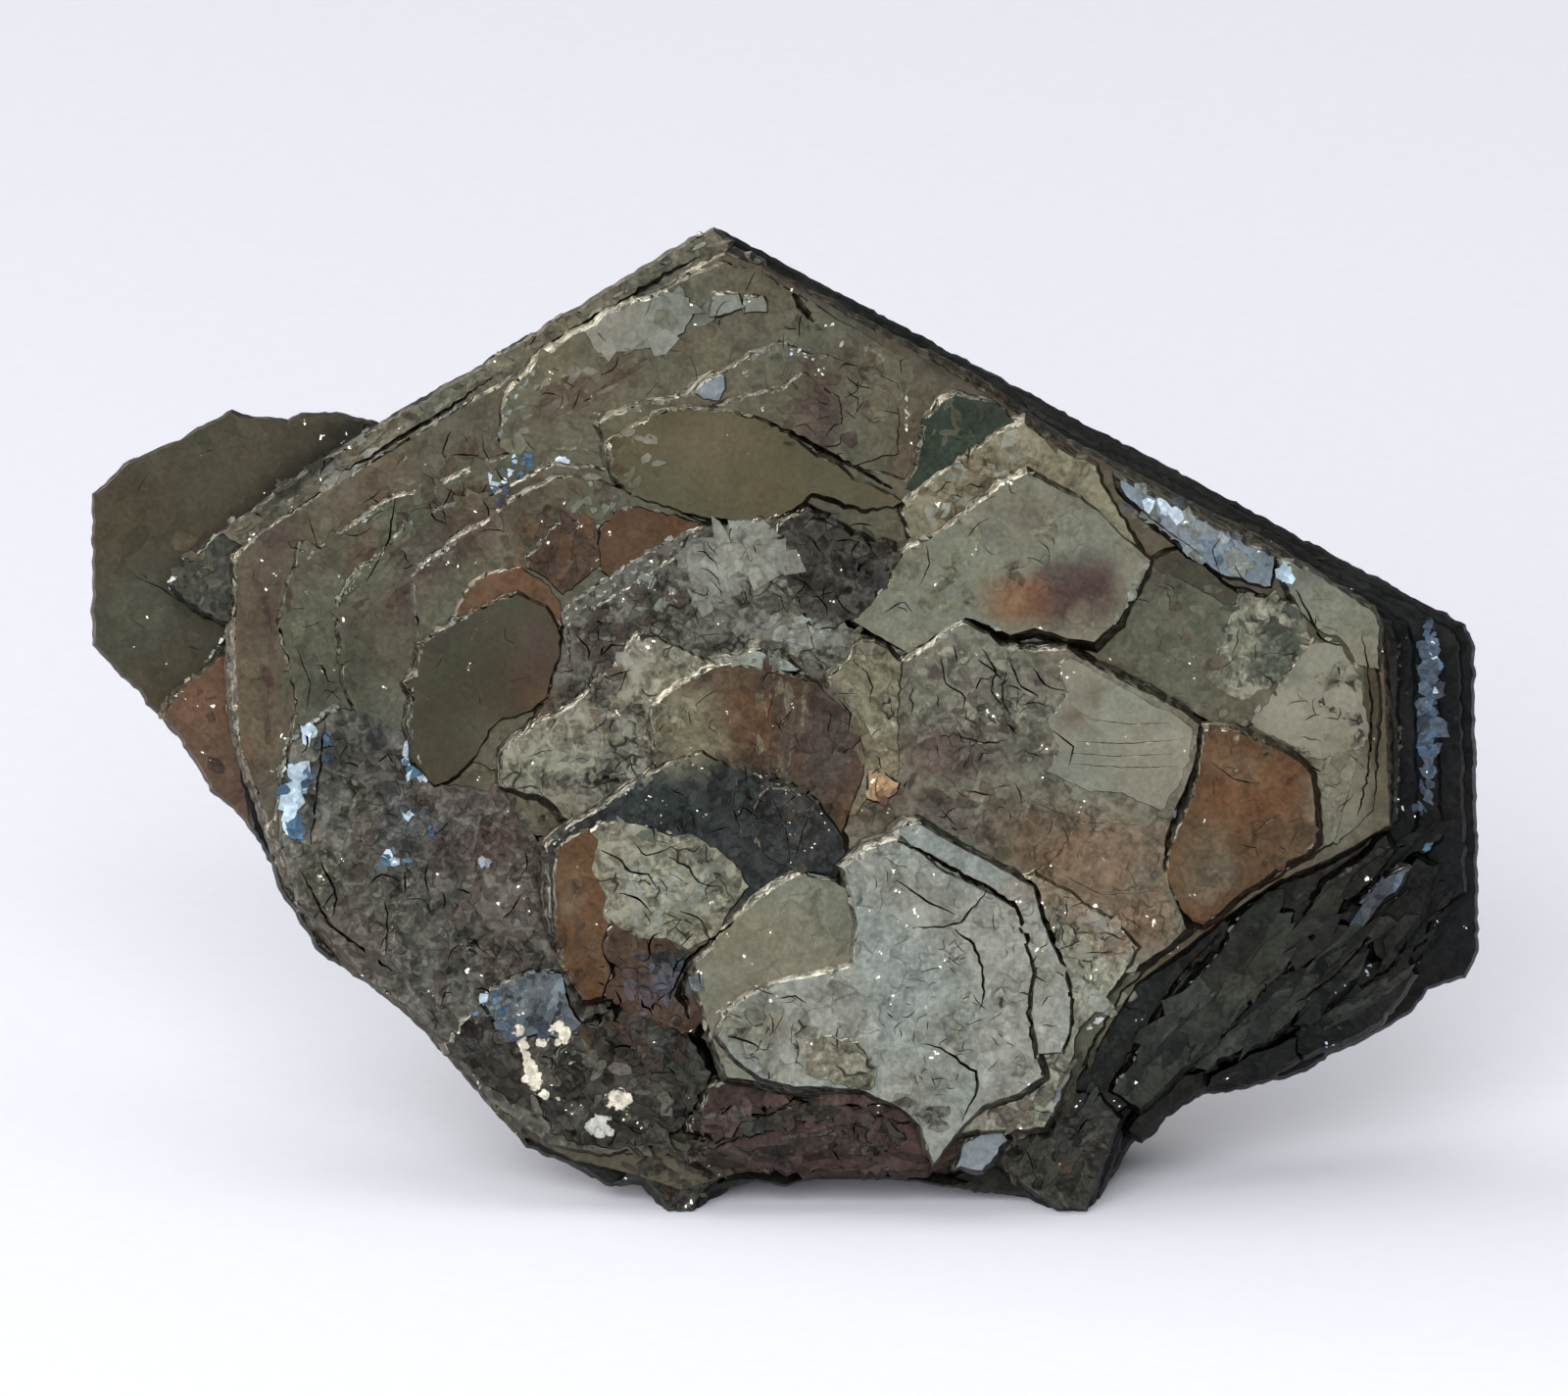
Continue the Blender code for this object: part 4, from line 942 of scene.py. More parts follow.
def chip(finish, host, place, size, proud, spin, stretch, tilt, stand, way, shade, rng):
    """Return a flat grain, with five to eight ragged sides, that stands on the surface."""
    count = int(rng.integers(*CHIP_SIDES))
    stray = rng.uniform(-CHIP_RAGGED, CHIP_RAGGED, count)
    angles = (np.arange(count) + stray) * 2 * math.pi / count
    reach = size * rng.uniform(*CHIP_REACH, count)
    flat = np.column_stack((np.cos(angles) * reach, np.sin(angles) * reach * stretch))
    corners = flat @ turned_by(spin)
    lean = np.tan(np.radians(tilt))
    top = corners * (1.0 - min(0.25, CHIP_BEVEL / size)) + place
    drop = proud + CHIP_ROOT + size * CHIP_REACH[1] * np.abs(lean).sum()
    upper = stand + proud + way * ((top - place) @ lean)
    middle = np.array(((*place, way * (stand + proud)), (*place, way * (stand + proud - drop))))
    points = np.concatenate((middle[:1], np.column_stack((top, way * upper)),
                             np.column_stack((corners + place, np.full(count, middle[1, 2]))),
                             middle[1:]))
    loop = np.arange(count)
    after = (loop + 1) % count
    high, low = loop + 1, loop + 1 + count
    high_next, low_next = after + 1, after + 1 + count
    faces = np.concatenate((np.column_stack((np.zeros(count, int), high, high_next)),
                            np.column_stack((high, low, low_next)),
                            np.column_stack((high, low_next, high_next)),
                            np.column_stack((np.full(count, 2 * count + 1), low_next, low))))
    top_kind = face_kind(finish, 0, host, shade, 1)
    wall_kind = face_kind(finish, 1, host, shade, 1)
    if way < 0:
        faces = faces[:, ::-1]
    return points, faces, np.repeat((top_kind, wall_kind, wall_kind, wall_kind), count)


def stands_clear(places, reach, plates, way):
    """Return which places have plates under them all round, out to a reach."""
    turns = np.arange(ALL_ROUND) * math.pi / (ALL_ROUND / 2)
    around = np.column_stack((np.cos(turns), np.sin(turns)))
    spots = (places[:, None] + np.reshape(reach, (-1, 1, 1)) * around).reshape(-1, 2)
    return ground(spots, plates, way).reshape(-1, ALL_ROUND).min(1) > DEEPEST


def surface_tilt(places, plates, way):
    """Return the surface's lean at each place, in degrees, with steps left out."""
    leans = []
    for axis in range(2):
        shift = np.zeros(2)
        shift[axis] = TILT_REACH
        rise = ground(places + shift, plates, way) - ground(places - shift, plates, way)
        lean = np.clip(rise / (2 * TILT_REACH), -STEEPEST, STEEPEST)
        leans.append(np.degrees(np.arctan(lean)) * way)
    return np.column_stack(leans)


# finishes, middle, half width and height, turn, count, size range, how proud, tilt
CHIP_ZONES = (
    (("pale", "white", "white"), (-3.6, 45.9), (4, 2.6), 20, 30, (0.8, 2), (0.05, 0.26), 4),
    (("centre", "pale", "brown"), (-9.5, 42.6), (6, 2.6), 30, 46, (0.35, 1), (0.05, 0.20), 6),
    (("brown", "dark_rough", "centre"), (-13.6, 38.8), (2.4, 4.2), 0, 40, (0.3, 0.9), (0.05, 0.3), 9),
    (("crackled", "pale", "band"), (1.5, 40.6), (5.2, 1.6), -10, 34, (0.3, 0.9), (0.05, 0.18), 5),
    (("dark_rough", "druse_dark", "rim_edge"), (3.4, 45.8), (3.8, 3.2), 0, 36, (0.3, 0.9), (0.05, 0.3), 10),
    (("right", "violet", "crackled"), (12.6, 35.2), (4.4, 4.4), 0, 60, (0.35, 1.1), (0.04, 0.16), 4),
    (("violet", "right", "brown"), (12.5, 28.8), (6.5, 2), -14, 44, (0.35, 1), (0.04, 0.18), 5),
    (("crackled", "centre", "violet"), (15.5, 36.6), (3, 2.6), 0, 26, (0.35, 0.9), (0.05, 0.2), 6),
    (("band", "crackled"), (5.6, 35), (2.2, 4.2), 0, 20, (0.35, 1), (0.04, 0.14), 4),
    (("crackled", "pale", "centre"), (-12.2, 32.6), (6.4, 3), 30, 64, (0.35, 1.2), (0.04, 0.16), 4),
    (("sage", "pale"), (-8.6, 23.4), (4.2, 3), 10, 26, (0.4, 1.1), (0.03, 0.09), 2),
    (("slate", "slate", "teal", "toe"), (-4.6, 29), (7.6, 2.2), 12, 76, (0.3, 0.9), (0.04, 0.2), 9),
    (("slate", "plum", "toe"), (1, 26.8), (2.4, 2.6), 0, 34, (0.3, 0.8), (0.03, 0.12), 6),
    (("brown", "violet", "slate_blue"), (-9.6, 16.4), (3.6, 2.4), 10, 44, (0.3, 0.9), (0.05, 0.3), 9),
    (("copper", "brown"), (-14.8, 19.6), (1.2, 4.4), 0, 14, (0.4, 1), (0.03, 0.1), 3),
    (("sage", "crackled"), (-0.6, 11.6), (4.6, 2.2), 0, 30, (0.3, 1), (0.03, 0.12), 4),
    (("white", "pale", "shelf_pale"), (11.4, 13.4), (4.4, 5.4), 0, 60, (0.3, 1), (0.02, 0.09), 2.5),
    (("white", "pale"), (16.6, 14), (1.8, 7), 8, 30, (0.3, 0.9), (0.03, 0.14), 4),
    (("pale", "sage_light", "crackled"), (21.2, 18), (3.6, 4.4), 20, 46, (0.35, 1.1), (0.04, 0.15), 4),
    (("centre", "teal", "crackled"), (34.2, 40.4), (3.4, 3.6), 0, 44, (0.35, 1.1), (0.03, 0.10), 3),
    (("crackled", "sage", "right"), (39.8, 34), (2, 5.5), 0, 34, (0.3, 0.9), (0.04, 0.16), 4),
    (("upper", "right", "brown"), (30.5, 41.5), (5.5, 2.6), -28, 16, (0.4, 1.2), (0.03, 0.09), 2),
    (("hexagon", "brown"), (33.4, 27.6), (3.8, 4.8), 0, 16, (0.4, 1.2), (0.03, 0.08), 2),
    (("right", "violet", "crackled"), (32.6, 34), (6.4, 0.9), -26, 26, (0.3, 0.7), (0.05, 0.2), 7),
    (("sage", "band"), (13, 46.6), (6.4, 3.6), 20, 20, (0.5, 1.4), (0.02, 0.07), 2),
    (("band", "brown", "pale"), (14.6, 52.6), (5.4, 1.6), 32, 34, (0.3, 0.9), (0.05, 0.2), 6),
    (("lens", "upper_light"), (-10.6, 53.4), (1.6, 2.4), 20, 16, (0.35, 0.9), (0.04, 0.14), 5),
    (("terrace", "upper", "brown"), (-24.5, 50.5), (7, 3.2), 30, 60, (0.4, 1.3), (0.05, 0.2), 4),
    (("terrace", "face", "upper"), (-32.4, 42.6), (2.6, 6.4), 0, 34, (0.5, 1.4), (0.04, 0.14), 3),
    (("brown", "copper", "violet"), (-17, 47.6), (3.4, 2.6), 20, 36, (0.4, 1.1), (0.06, 0.25), 6),
    (("upper_light", "brown", "upper"), (-13, 51.2), (2.4, 1.8), 20, 24, (0.3, 0.9), (0.06, 0.25), 8),
    (("upper", "upper_light", "face"), (-12, 61.2), (7.4, 2.6), 30, 34, (0.5, 1.6), (0.04, 0.13), 3),
    (("upper", "right", "brown"), (3.6, 60.2), (5, 3.2), -25, 40, (0.35, 1.1), (0.05, 0.2), 6),
    (("upper", "face"), (-1, 64.8), (3.4, 2.4), 0, 18, (0.4, 1.2), (0.04, 0.13), 3),
    (("upper", "violet"), (3.2, 56), (3.6, 2.6), 0, 22, (0.4, 1.2), (0.04, 0.14), 4),
    (("teal", "teal", "upper"), (12, 56.2), (3, 1.8), 20, 18, (0.35, 0.9), (0.04, 0.15), 5),
    (("band_side", "point", "brown"), (-30.5, 54.4), (9.6, 0.9), 32, 24, (0.3, 0.7), (0.05, 0.2), 10),
    (("band_side", "point", "upper"), (-12.6, 65.6), (8.4, 0.8), 31, 20, (0.3, 0.7), (0.05, 0.2), 10),
    (("point", "band_side"), (-41.4, 45.4), (2.2, 2.2), 0, 20, (0.3, 0.9), (0.05, 0.35), 12),
    (("wing", "face"), (-44, 47), (5, 7), 0, 10, (0.5, 1.6), (0.02, 0.06), 1.5),
    (("ledge", "violet"), (-40.4, 33.6), (2.4, 4), 20, 12, (0.4, 1.2), (0.03, 0.1), 3),
    (("druse", "slate", "druse", "centre"), (-30.6, 28), (5, 7), 0, 90, (0.35, 1.1), (0.04, 0.30), 9),
    (("druse", "slate", "druse_dark", "violet"), (-24, 21), (8, 5.6), -30, 130, (0.3, 1), (0.04, 0.28), 8),
    (("druse", "druse_dark", "violet"), (-20, 27), (4.4, 3), 0, 56, (0.3, 0.9), (0.04, 0.28), 8),
    (("druse", "druse_dark", "toe"), (-19.6, 14.6), (5, 3.4), -30, 40, (0.35, 1), (0.03, 0.2), 7),
    (("toe", "druse_dark", "druse"), (-12.6, 8.4), (5.6, 3.4), -20, 76, (0.35, 1.2), (0.05, 0.4), 11),
    (("violet", "dark_rough", "violet"), (2, 6), (9, 2.6), 0, 70, (0.35, 1.1), (0.05, 0.3), 11),
    (("toe", "rim_edge", "brown"), (-8, 2.6), (3.4, 2.6), 0, 26, (0.35, 1), (0.05, 0.35), 12),
    (("blue_grey", "pale", "right", "slate_blue"), (29.2, 48.3), (6.4, 1.3), -28, 50, (0.3, 1),
     (0.03, 0.14), 8),
    (("brown", "violet", "druse_dark"), (-10.6, 12.4), (3.8, 2.4), -14, 60, (0.3, 0.9), (0.05, 0.3), 9),
    (("druse", "slate_blue", "blue_grey"), (-18.2, 14.4), (3.2, 2), 0, 26, (0.3, 0.8), (0.03, 0.12), 4),
    (("shelf_pale", "pale", "crackled"), (21.8, 17.8), (2.6, 4.6), 24, 40, (0.3, 0.9), (0.03, 0.12), 3),
    (("toe", "brown", "dark_rough"), (18.8, 4.4), (3.8, 4), 0, 44, (0.4, 1.2), (0.05, 0.35), 11),
)
# The same, of long splinters that lie along their zone.
SPLINTER_ZONES = (
    (("slope", "slope_light", "rim"), (29, 15.4), (9, 1.4), 52, 26, (1.4, 3.6), (0.05, 0.3), 6),
    (("slope", "rim", "slope_light"), (33.6, 15.6), (8, 1.5), 48, 26, (1.4, 3.8), (0.05, 0.35), 6),
    (("slope_light", "slope", "rim"), (38.4, 17.4), (7, 1.8), 44, 26, (1.2, 3.4), (0.05, 0.35), 6),
    (("rim", "slope", "slope_light"), (37, 12.4), (8, 1.2), 28, 28, (0.8, 2.6), (0.05, 0.3), 7),
    (("rim", "slope"), (45.6, 20.4), (4, 2.2), 50, 26, (0.6, 2.2), (0.05, 0.4), 7),
    (("rim", "slope"), (44, 25.4), (3.6, 1), 34, 18, (0.6, 2), (0.05, 0.4), 7),
    (("band_side", "pale", "face"), (-30.5, 54), (10.4, 0.9), 32, 70, (0.4, 1.5), (0.04, 0.3), 8),
    (("band_side", "pale", "upper"), (-11.8, 65.8), (8.2, 0.8), 31, 56, (0.4, 1.4), (0.04, 0.3), 8),
    (("rim", "rim_edge"), (15, 59.2), (13, 0.7), -29, 44, (0.6, 2), (0.03, 0.25), 7),
    (("rim", "rim_edge"), (36, 47.6), (9, 0.6), -28, 30, (0.6, 2), (0.03, 0.25), 7),
    (("violet", "dark_rough", "rim_edge"), (2, 6.4), (9, 1.4), 4, 50, (0.6, 2.2), (0.04, 0.4), 10),
    (("rim_edge", "toe", "rim"), (3, 3.4), (10, 1.2), 0, 60, (0.6, 2.2), (0.04, 0.4), 10),
    (("toe", "rim_edge", "druse_dark"), (-9, 4.2), (4, 2.6), -30, 40, (0.5, 1.8), (0.04, 0.4), 10),
    (("rim_edge", "toe", "druse_dark"), (-24.4, 12.6), (9, 1.2), -44, 60, (0.5, 1.8), (0.04, 0.4), 10),
    (("toe", "rim", "slope_light"), (20, 6.4), (5.4, 2), 62, 44, (0.5, 2), (0.04, 0.4), 9),
    (("terrace", "face", "brown"), (-26, 47.6), (7.4, 2.2), 38, 44, (0.5, 1.8), (0.04, 0.16), 3),
    (("face", "terrace", "violet"), (-36.6, 40), (6.4, 1.2), 88, 26, (0.5, 1.8), (0.03, 0.12), 3),
    (("copper", "brown", "plum", "band"), (-0.6, 34.8), (4.8, 2.6), 84, 80, (0.4, 1.6), (0.02, 0.08), 2),
    (("upper", "brown", "upper_light"), (-14, 59), (7, 1.6), 30, 26, (0.5, 1.8), (0.03, 0.14), 3),
)
# The same, of chips on the back.
BACK_ZONES = (
    (("back", "back_dark", "brown"), (5, 28), (42, 24), 0, 190, (1.2, 3.2), (0.1, 0.45), 4),
    (("back", "back_dark", "slope"), (6, 26), (22, 18), 0, 110, (0.8, 2.4), (0.1, 0.6), 6),
)


def in_ellipse(middle, half, turn, count, rng):
    """Return places scattered over a turned ellipse."""
    reach = np.sqrt(rng.uniform(0.0, 1.0, count))
    angle = rng.uniform(0.0, 2 * math.pi, count)
    flat = np.column_stack((half[0] * reach * np.cos(angle), half[1] * reach * np.sin(angle)))
    return middle + flat @ turned_by(turn)


def zone_chips(zone, plates, way, rng, long=False):
    """Return the chips of one zone, scattered over an ellipse, long ones lying along it."""
    finishes, middle, half, turn, count, sizes, prouds, tilt = zone
    places = in_ellipse(middle, half, turn, count, rng)
    size = rng.uniform(*sizes, count)
    proud = rng.uniform(*prouds, count)
    spin = CRYSTAL_TURN * rng.integers(0, 3, count) + rng.uniform(-SPIN_STRAY, SPIN_STRAY, count)
    stretch = rng.uniform(*CHIP_STRETCH, count)
    if long:
        spin = turn + rng.normal(0.0, LONG_STRAY, count)
        stretch = stretch * LONG_THIN
    shade = rng.uniform(*CHIP_SHADES, count)
    pick = rng.integers(0, len(finishes), count)
    stands, hosts = cover(places, plates, way)
    tips = surface_tilt(places, plates, way) + rng.uniform(-tilt, tilt, (count, 2))
    firm = stands_clear(places, size * (LONG_REACH if long else ROUND_REACH), plates, way)
    return [chip(finishes[pick[i]], plates[hosts[i]].finish, places[i], size[i], proud[i], spin[i],
                 stretch[i], tips[i], stands[i], way, shade[i], rng)
            for i in np.flatnonzero(firm)]


# finish, count, size range, tilt, then the line that the beads follow. Many of the pale and spark rows, and
# the band_side rows round the lower left rim, run along edges that face the light and are painted
# highlights there.
BEAD_ROWS = (
    ("pale", 46, (0.12, 0.34), 24, ((-16, 43), (-11, 46.2), (-6, 48.8), (-2, 49.1))),
    ("pale", 34, (0.10, 0.28), 24, ((-15.6, 42.3), (-10.6, 45.6), (-6.2, 48.2))),
    ("pale", 20, (0.10, 0.26), 24, ((-15.5, 41.7), (-12.6, 43.5), (-10, 44.9))),
    ("spark", 26, (0.08, 0.22), 26, ((-6, 48.9), (-3, 49), (0.4, 49.7))),
    ("spark", 26, (0.07, 0.18), 26, ((-5, 14), (-3, 15.6), (-0.5, 16.4), (3, 17.1), (4.6, 16.3))),
    ("band", 30, (0.15, 0.40), 20, ((8.6, 50.2), (12.4, 53.6), (15.4, 55.6), (17, 56.2))),
    ("spark", 16, (0.10, 0.26), 26, ((8.7, 58), (8.6, 56.6), (8.5, 55.2))),
    ("pale", 30, (0.15, 0.38), 20, ((-20.6, 55.2), (-19.4, 58), (-17, 61.2), (-14.6, 62.8))),
    ("pale", 30, (0.12, 0.34), 24, ((-9.5, 57.2), (-5, 59.6), (-2.2, 61), (-0.7, 61.8), (2.8, 60.8))),
    ("spark", 8, (0.10, 0.24), 20, ((0.4, 61.4), (1.8, 60.7))),
    ("pale", 18, (0.12, 0.30), 20, ((-4.8, 57.5), (-2.6, 58.1), (-0.4, 58.6), (1.1, 59.8))),
    ("pale", 40, (0.15, 0.45), 24, ((-36.3, 31), (-35.5, 33.5), (-33.5, 35), (-32, 36))),
    ("band", 34, (0.20, 0.50), 26, ((-44.8, 35.6), (-42.4, 38.4), (-40.6, 40.2), (-39.6, 41.2))),
    ("spark", 9, (0.15, 0.34), 26, ((-41.6, 39.2), (-40.4, 40.9))),
    ("spark", 5, (0.15, 0.38), 20, ((-44.4, 44.4), (-43.6, 45.6))),
    ("pale", 26, (0.08, 0.20), 24, ((-33, 25.6), (-32.4, 23.6), (-32.7, 21))),
    ("pale", 22, (0.07, 0.18), 24, ((-28.3, 22.6), (-28, 20.4), (-28.2, 18))),
    ("band_side", 40, (0.08, 0.22), 20, ((-24.6, 30.6), (-25, 28), (-23.6, 24), (-23.8, 20))),
    ("band", 40, (0.04, 0.09), 8, ((-24.4, 37.4), (-22.8, 40.4), (-21, 42.6))),
    ("spark", 20, (0.05, 0.12), 20, ((-36, 46.6), (-33, 47.6), (-30.6, 49.4), (-28, 50.9))),
    ("spark", 20, (0.05, 0.12), 20, ((-31.8, 43.6), (-29, 46.6), (-26.5, 49.2))),
    ("spark", 20, (0.05, 0.12), 20, ((-26.4, 45.2), (-23.4, 48), (-19.6, 50.6))),
    ("band", 26, (0.04, 0.11), 10, ((3.2, 36.6), (3.8, 34.8), (3.4, 33.2), (4.2, 31.6))),
    ("band", 20, (0.04, 0.10), 10, ((2.2, 35.4), (3.2, 34.2), (4.8, 33.9))),
    ("band", 18, (0.04, 0.10), 10, ((1.6, 33.4), (2.6, 32.2), (2.4, 31))),
    ("band_side", 60, (0.15, 0.42), 24, ((-36.2, 23.4), (-33.4, 18.6), (-30, 16.6), (-24.2, 11.4),
     (-20.8, 7.2), (-18.4, 5))),
    ("spark", 16, (0.07, 0.18), 26, ((-34.4, 19.8), (-27.4, 14.4), (-22.4, 9.6), (-19.4, 5.2))),
    ("pale", 40, (0.10, 0.32), 20, ((30, 20.4), (33, 22.8), (36.6, 24.8), (37.6, 26.2))),
    ("blue_grey", 24, (0.15, 0.40), 20, ((29.6, 33.4), (28.6, 30.2), (27.2, 26.4), (27, 24.2))),
    ("pale", 26, (0.10, 0.26), 18, ((4.6, 24.8), (8, 26.8), (12, 24.2), (16.2, 21.8), (17.6, 17.6))),
    ("pale", 30, (0.10, 0.28), 20, ((-16.8, 25.9), (-13.6, 28.4), (-8.5, 31.8), (-6, 32.7))),
    ("toe", 44, (0.20, 0.55), 12, ((36.8, 20.4), (35, 17.6), (33.6, 15.4), (31.2, 12.6))),
    ("toe", 40, (0.20, 0.50), 12, ((41, 17.6), (38, 15.4), (35, 13.4), (31.4, 11.2))),
    ("band_side", 16, (0.08, 0.22), 18, ((36.4, 20.2), (35.2, 17.6), (34, 15.7))),
    ("toe", 40, (0.20, 0.50), 14, ((43.4, 26), (39.6, 23.8), (36, 22), (32.4, 19.8), (29.6, 17.2))),
    ("band_side", 50, (0.12, 0.36), 24, ((-36.6, 24.2), (-34.6, 20), (-31, 16.9), (-27.4, 14),
     (-24.2, 11.2), (-21.4, 7.6))),
    ("druse_dark", 50, (0.20, 0.45), 20, ((-36.8, 24), (-34.8, 19.8), (-31.2, 16.6), (-27.6, 13.8),
     (-24.4, 10.9), (-21.6, 7.2), (-18.4, 4.6))),
    ("spark", 14, (0.07, 0.16), 24, ((-15, 27.8), (-8.5, 31.8), (-3, 31.4), (2.4, 28.8))),
    ("spark", 10, (0.08, 0.18), 24, ((8.3, 39.2), (12.4, 42))),
    ("pale", 30, (0.12, 0.36), 20, ((8.4, 39.2), (10.6, 40.6), (12.5, 42), (15, 41.4))),
    ("pale", 20, (0.15, 0.50), 18, ((23.4, 41.8), (24.6, 43.6), (25.4, 45.4), (26, 46.4))),
    ("pale", 20, (0.10, 0.28), 22, ((-10, 41.6), (-10.8, 40.6), (-11.6, 39), (-12.4, 37.9))),
    ("blue_grey", 12, (0.15, 0.5), 15, ((18.6, 6), (19.2, 7.4), (19.4, 8.7), (19.9, 9.4))),
    ("spark", 4, (0.25, 0.5), 15, ((21.3, 12.9), (22.3, 13.4))),
    ("pale", 26, (0.12, 0.30), 22, ((-7, 37.8), (-4.6, 39.2), (-1, 39.2), (2.6, 37.6), (4.8, 35.4))),
    ("pale", 34, (0.12, 0.32), 22, ((-26, 30.8), (-26.9, 34.4), (-26.7, 37.6), (-26.2, 40.2), (-23.8, 42),
     (-19.6, 43.9))),
    ("pale", 40, (0.10, 0.30), 22, ((-35, 45.6), (-33.4, 47.2), (-30.8, 49), (-28, 50.9), (-24.8, 51.7))),
    ("pale", 34, (0.10, 0.30), 22, ((-31.9, 43.4), (-30.2, 46), (-27.4, 48.7), (-24.2, 50.3))),
    ("pale", 30, (0.10, 0.30), 22, ((-26.5, 45.2), (-24.4, 47.1), (-21.8, 48.9), (-19.4, 50.7))),
    ("point", 44, (0.12, 0.34), 20, ((43.6, 28), (43.9, 34), (43.9, 40.6))),
    ("cream", 5, (0.15, 0.30), 10, ((-15.6, 10.4), (-14.4, 10.9))),
    ("cream", 5, (0.12, 0.28), 10, ((-16.6, 8.3), (-16, 7.4))),
    ("cream", 2, (0.25, 0.40), 10, ((4, 61.6), (4.2, 62.1))),
    ("spark", 3, (0.12, 0.24), 15, ((2.8, 63.2), (3.4, 63.1))),
)

# finish, count, size range, tilt, middle, half width and height, turn: patches of facets whose pale and
# bluish tints are painted reflections and highlights
GLINTS = (
    ("glint", 9, (0.5, 1.3), 5, (-34.9, 30.6), (0.7, 1.1), 0),
    ("glint", 9, (0.4, 1.1), 5, (-35.3, 27.6), (0.4, 1.5), 0),
    ("glint_blue", 16, (0.3, 0.9), 10, (-34.9, 29.2), (1.3, 3), 0),
    ("glint", 4, (0.3, 0.8), 8, (-34, 34), (0.4, 0.4), 0),
    ("glint_blue", 10, (0.2, 0.5), 14, (-32.8, 33), (0.6, 1), 0),
    ("glint", 4, (0.3, 0.7), 8, (-27, 32.4), (0.3, 0.7), 0),
    ("glint", 4, (0.3, 0.8), 8, (-26.1, 30.9), (0.5, 0.3), -30),
    ("glint_blue", 8, (0.2, 0.6), 14, (-26.8, 31.4), (0.9, 1.4), 0),
    ("glint", 3, (0.3, 0.6), 8, (-27, 28.3), (0.3, 0.3), 0),
    ("glint", 4, (0.3, 0.8), 8, (-28.3, 25), (0.8, 0.3), 10),
    ("glint_blue", 8, (0.2, 0.6), 14, (-28.3, 25), (1.3, 0.8), 0),
    ("glint", 4, (0.2, 0.5), 10, (-21.7, 24.6), (0.6, 0.3), 20),
    ("glint", 3, (0.2, 0.5), 10, (-21.5, 15.2), (0.4, 0.3), 0),
    ("glint_blue", 8, (0.2, 0.5), 14, (-21.2, 14.4), (1.4, 1), 0),
    ("glint_blue", 6, (0.15, 0.4), 14, (-25.3, 26.6), (0.4, 0.8), 0),
    ("glint", 9, (0.2, 0.7), 10, (-20.2, 52.6), (0.4, 1.8), -38),
    ("glint_blue", 16, (0.15, 0.5), 14, (-19.8, 52.4), (0.8, 2.6), -38),
    ("glint", 4, (0.15, 0.5), 12, (-16, 53.5), (0.4, 0.3), 20),
    ("glint", 5, (0.4, 1), 4, (35.6, 45.4), (0.3, 0.7), 20),
    ("pale", 6, (0.4, 1.2), 4, (32.6, 46), (1.4, 0.6), -20),
    ("glint", 5, (0.3, 0.9), 5, (26.6, 50.2), (1.8, 0.5), -25),
    ("glint", 4, (0.1, 0.3), 14, (41.7, 17), (0.3, 0.5), 0),
    ("glint", 4, (0.1, 0.3), 14, (39, 11.6), (0.4, 0.3), 0),
    ("glint_blue", 5, (0.15, 0.4), 14, (46, 26), (0.3, 0.4), 0),
    ("glint", 3, (0.1, 0.25), 14, (0.7, 61.2), (0.5, 0.3), 0),
    ("spark", 14, (0.05, 0.12), 22, (-4, 29.4), (7, 1.4), 12),
    ("spark", 8, (0.05, 0.12), 22, (1, 26.8), (2, 2.2), 0),
    ("slate_blue", 12, (0.3, 0.8), 8, (-18.2, 12.9), (2.4, 0.7), -6),
    ("slate_blue", 60, (0.35, 0.9), 6, (46.2, 36.4), (0.6, 5.8), 0),
    ("glint_blue", 22, (0.3, 0.8), 6, (46.2, 36.8), (0.5, 5.4), 0),
    ("glint", 7, (0.2, 0.5), 9, (46.2, 37.8), (0.4, 4.4), 0),
    ("slate_blue", 14, (0.25, 0.6), 8, (45.6, 29.6), (0.7, 1.6), 0),
)
BEAD_PROUD = (0.04, 0.20)           # how far the grains of a row stand out
GLINT_PROUD = (0.10, 0.35)
ROW_STRAY = 0.08                    # how far they lie off their line
AHEAD = 0.02                        # the share of a line over which its direction is read


def along_line(line, shares):
    """Return the places at some shares of a line's length."""
    line = np.array(line)
    lengths = np.concatenate(([0.0], np.cumsum(np.hypot(*np.diff(line, axis=0).T))))
    reach = shares * lengths[-1]
    return np.column_stack([np.interp(reach, lengths, line[:, axis]) for axis in range(2)])


def bead_row(row, plates, rng):
    """Return the grains that follow one line, lying along it."""
    finish, count, sizes, tilt, line = row
    shares = np.sort(rng.uniform(0.0, 1.0, count))
    places = along_line(line, shares)
    ahead = along_line(line, np.minimum(shares + AHEAD, 1.0)) - along_line(line, shares - AHEAD)
    spins = np.degrees(np.arctan2(ahead[:, 1], ahead[:, 0]))
    places = places + rng.normal(0.0, ROW_STRAY, places.shape)
    return strewn(finish, places, spins, (0.35, 0.8), sizes, BEAD_PROUD, tilt, plates, rng)


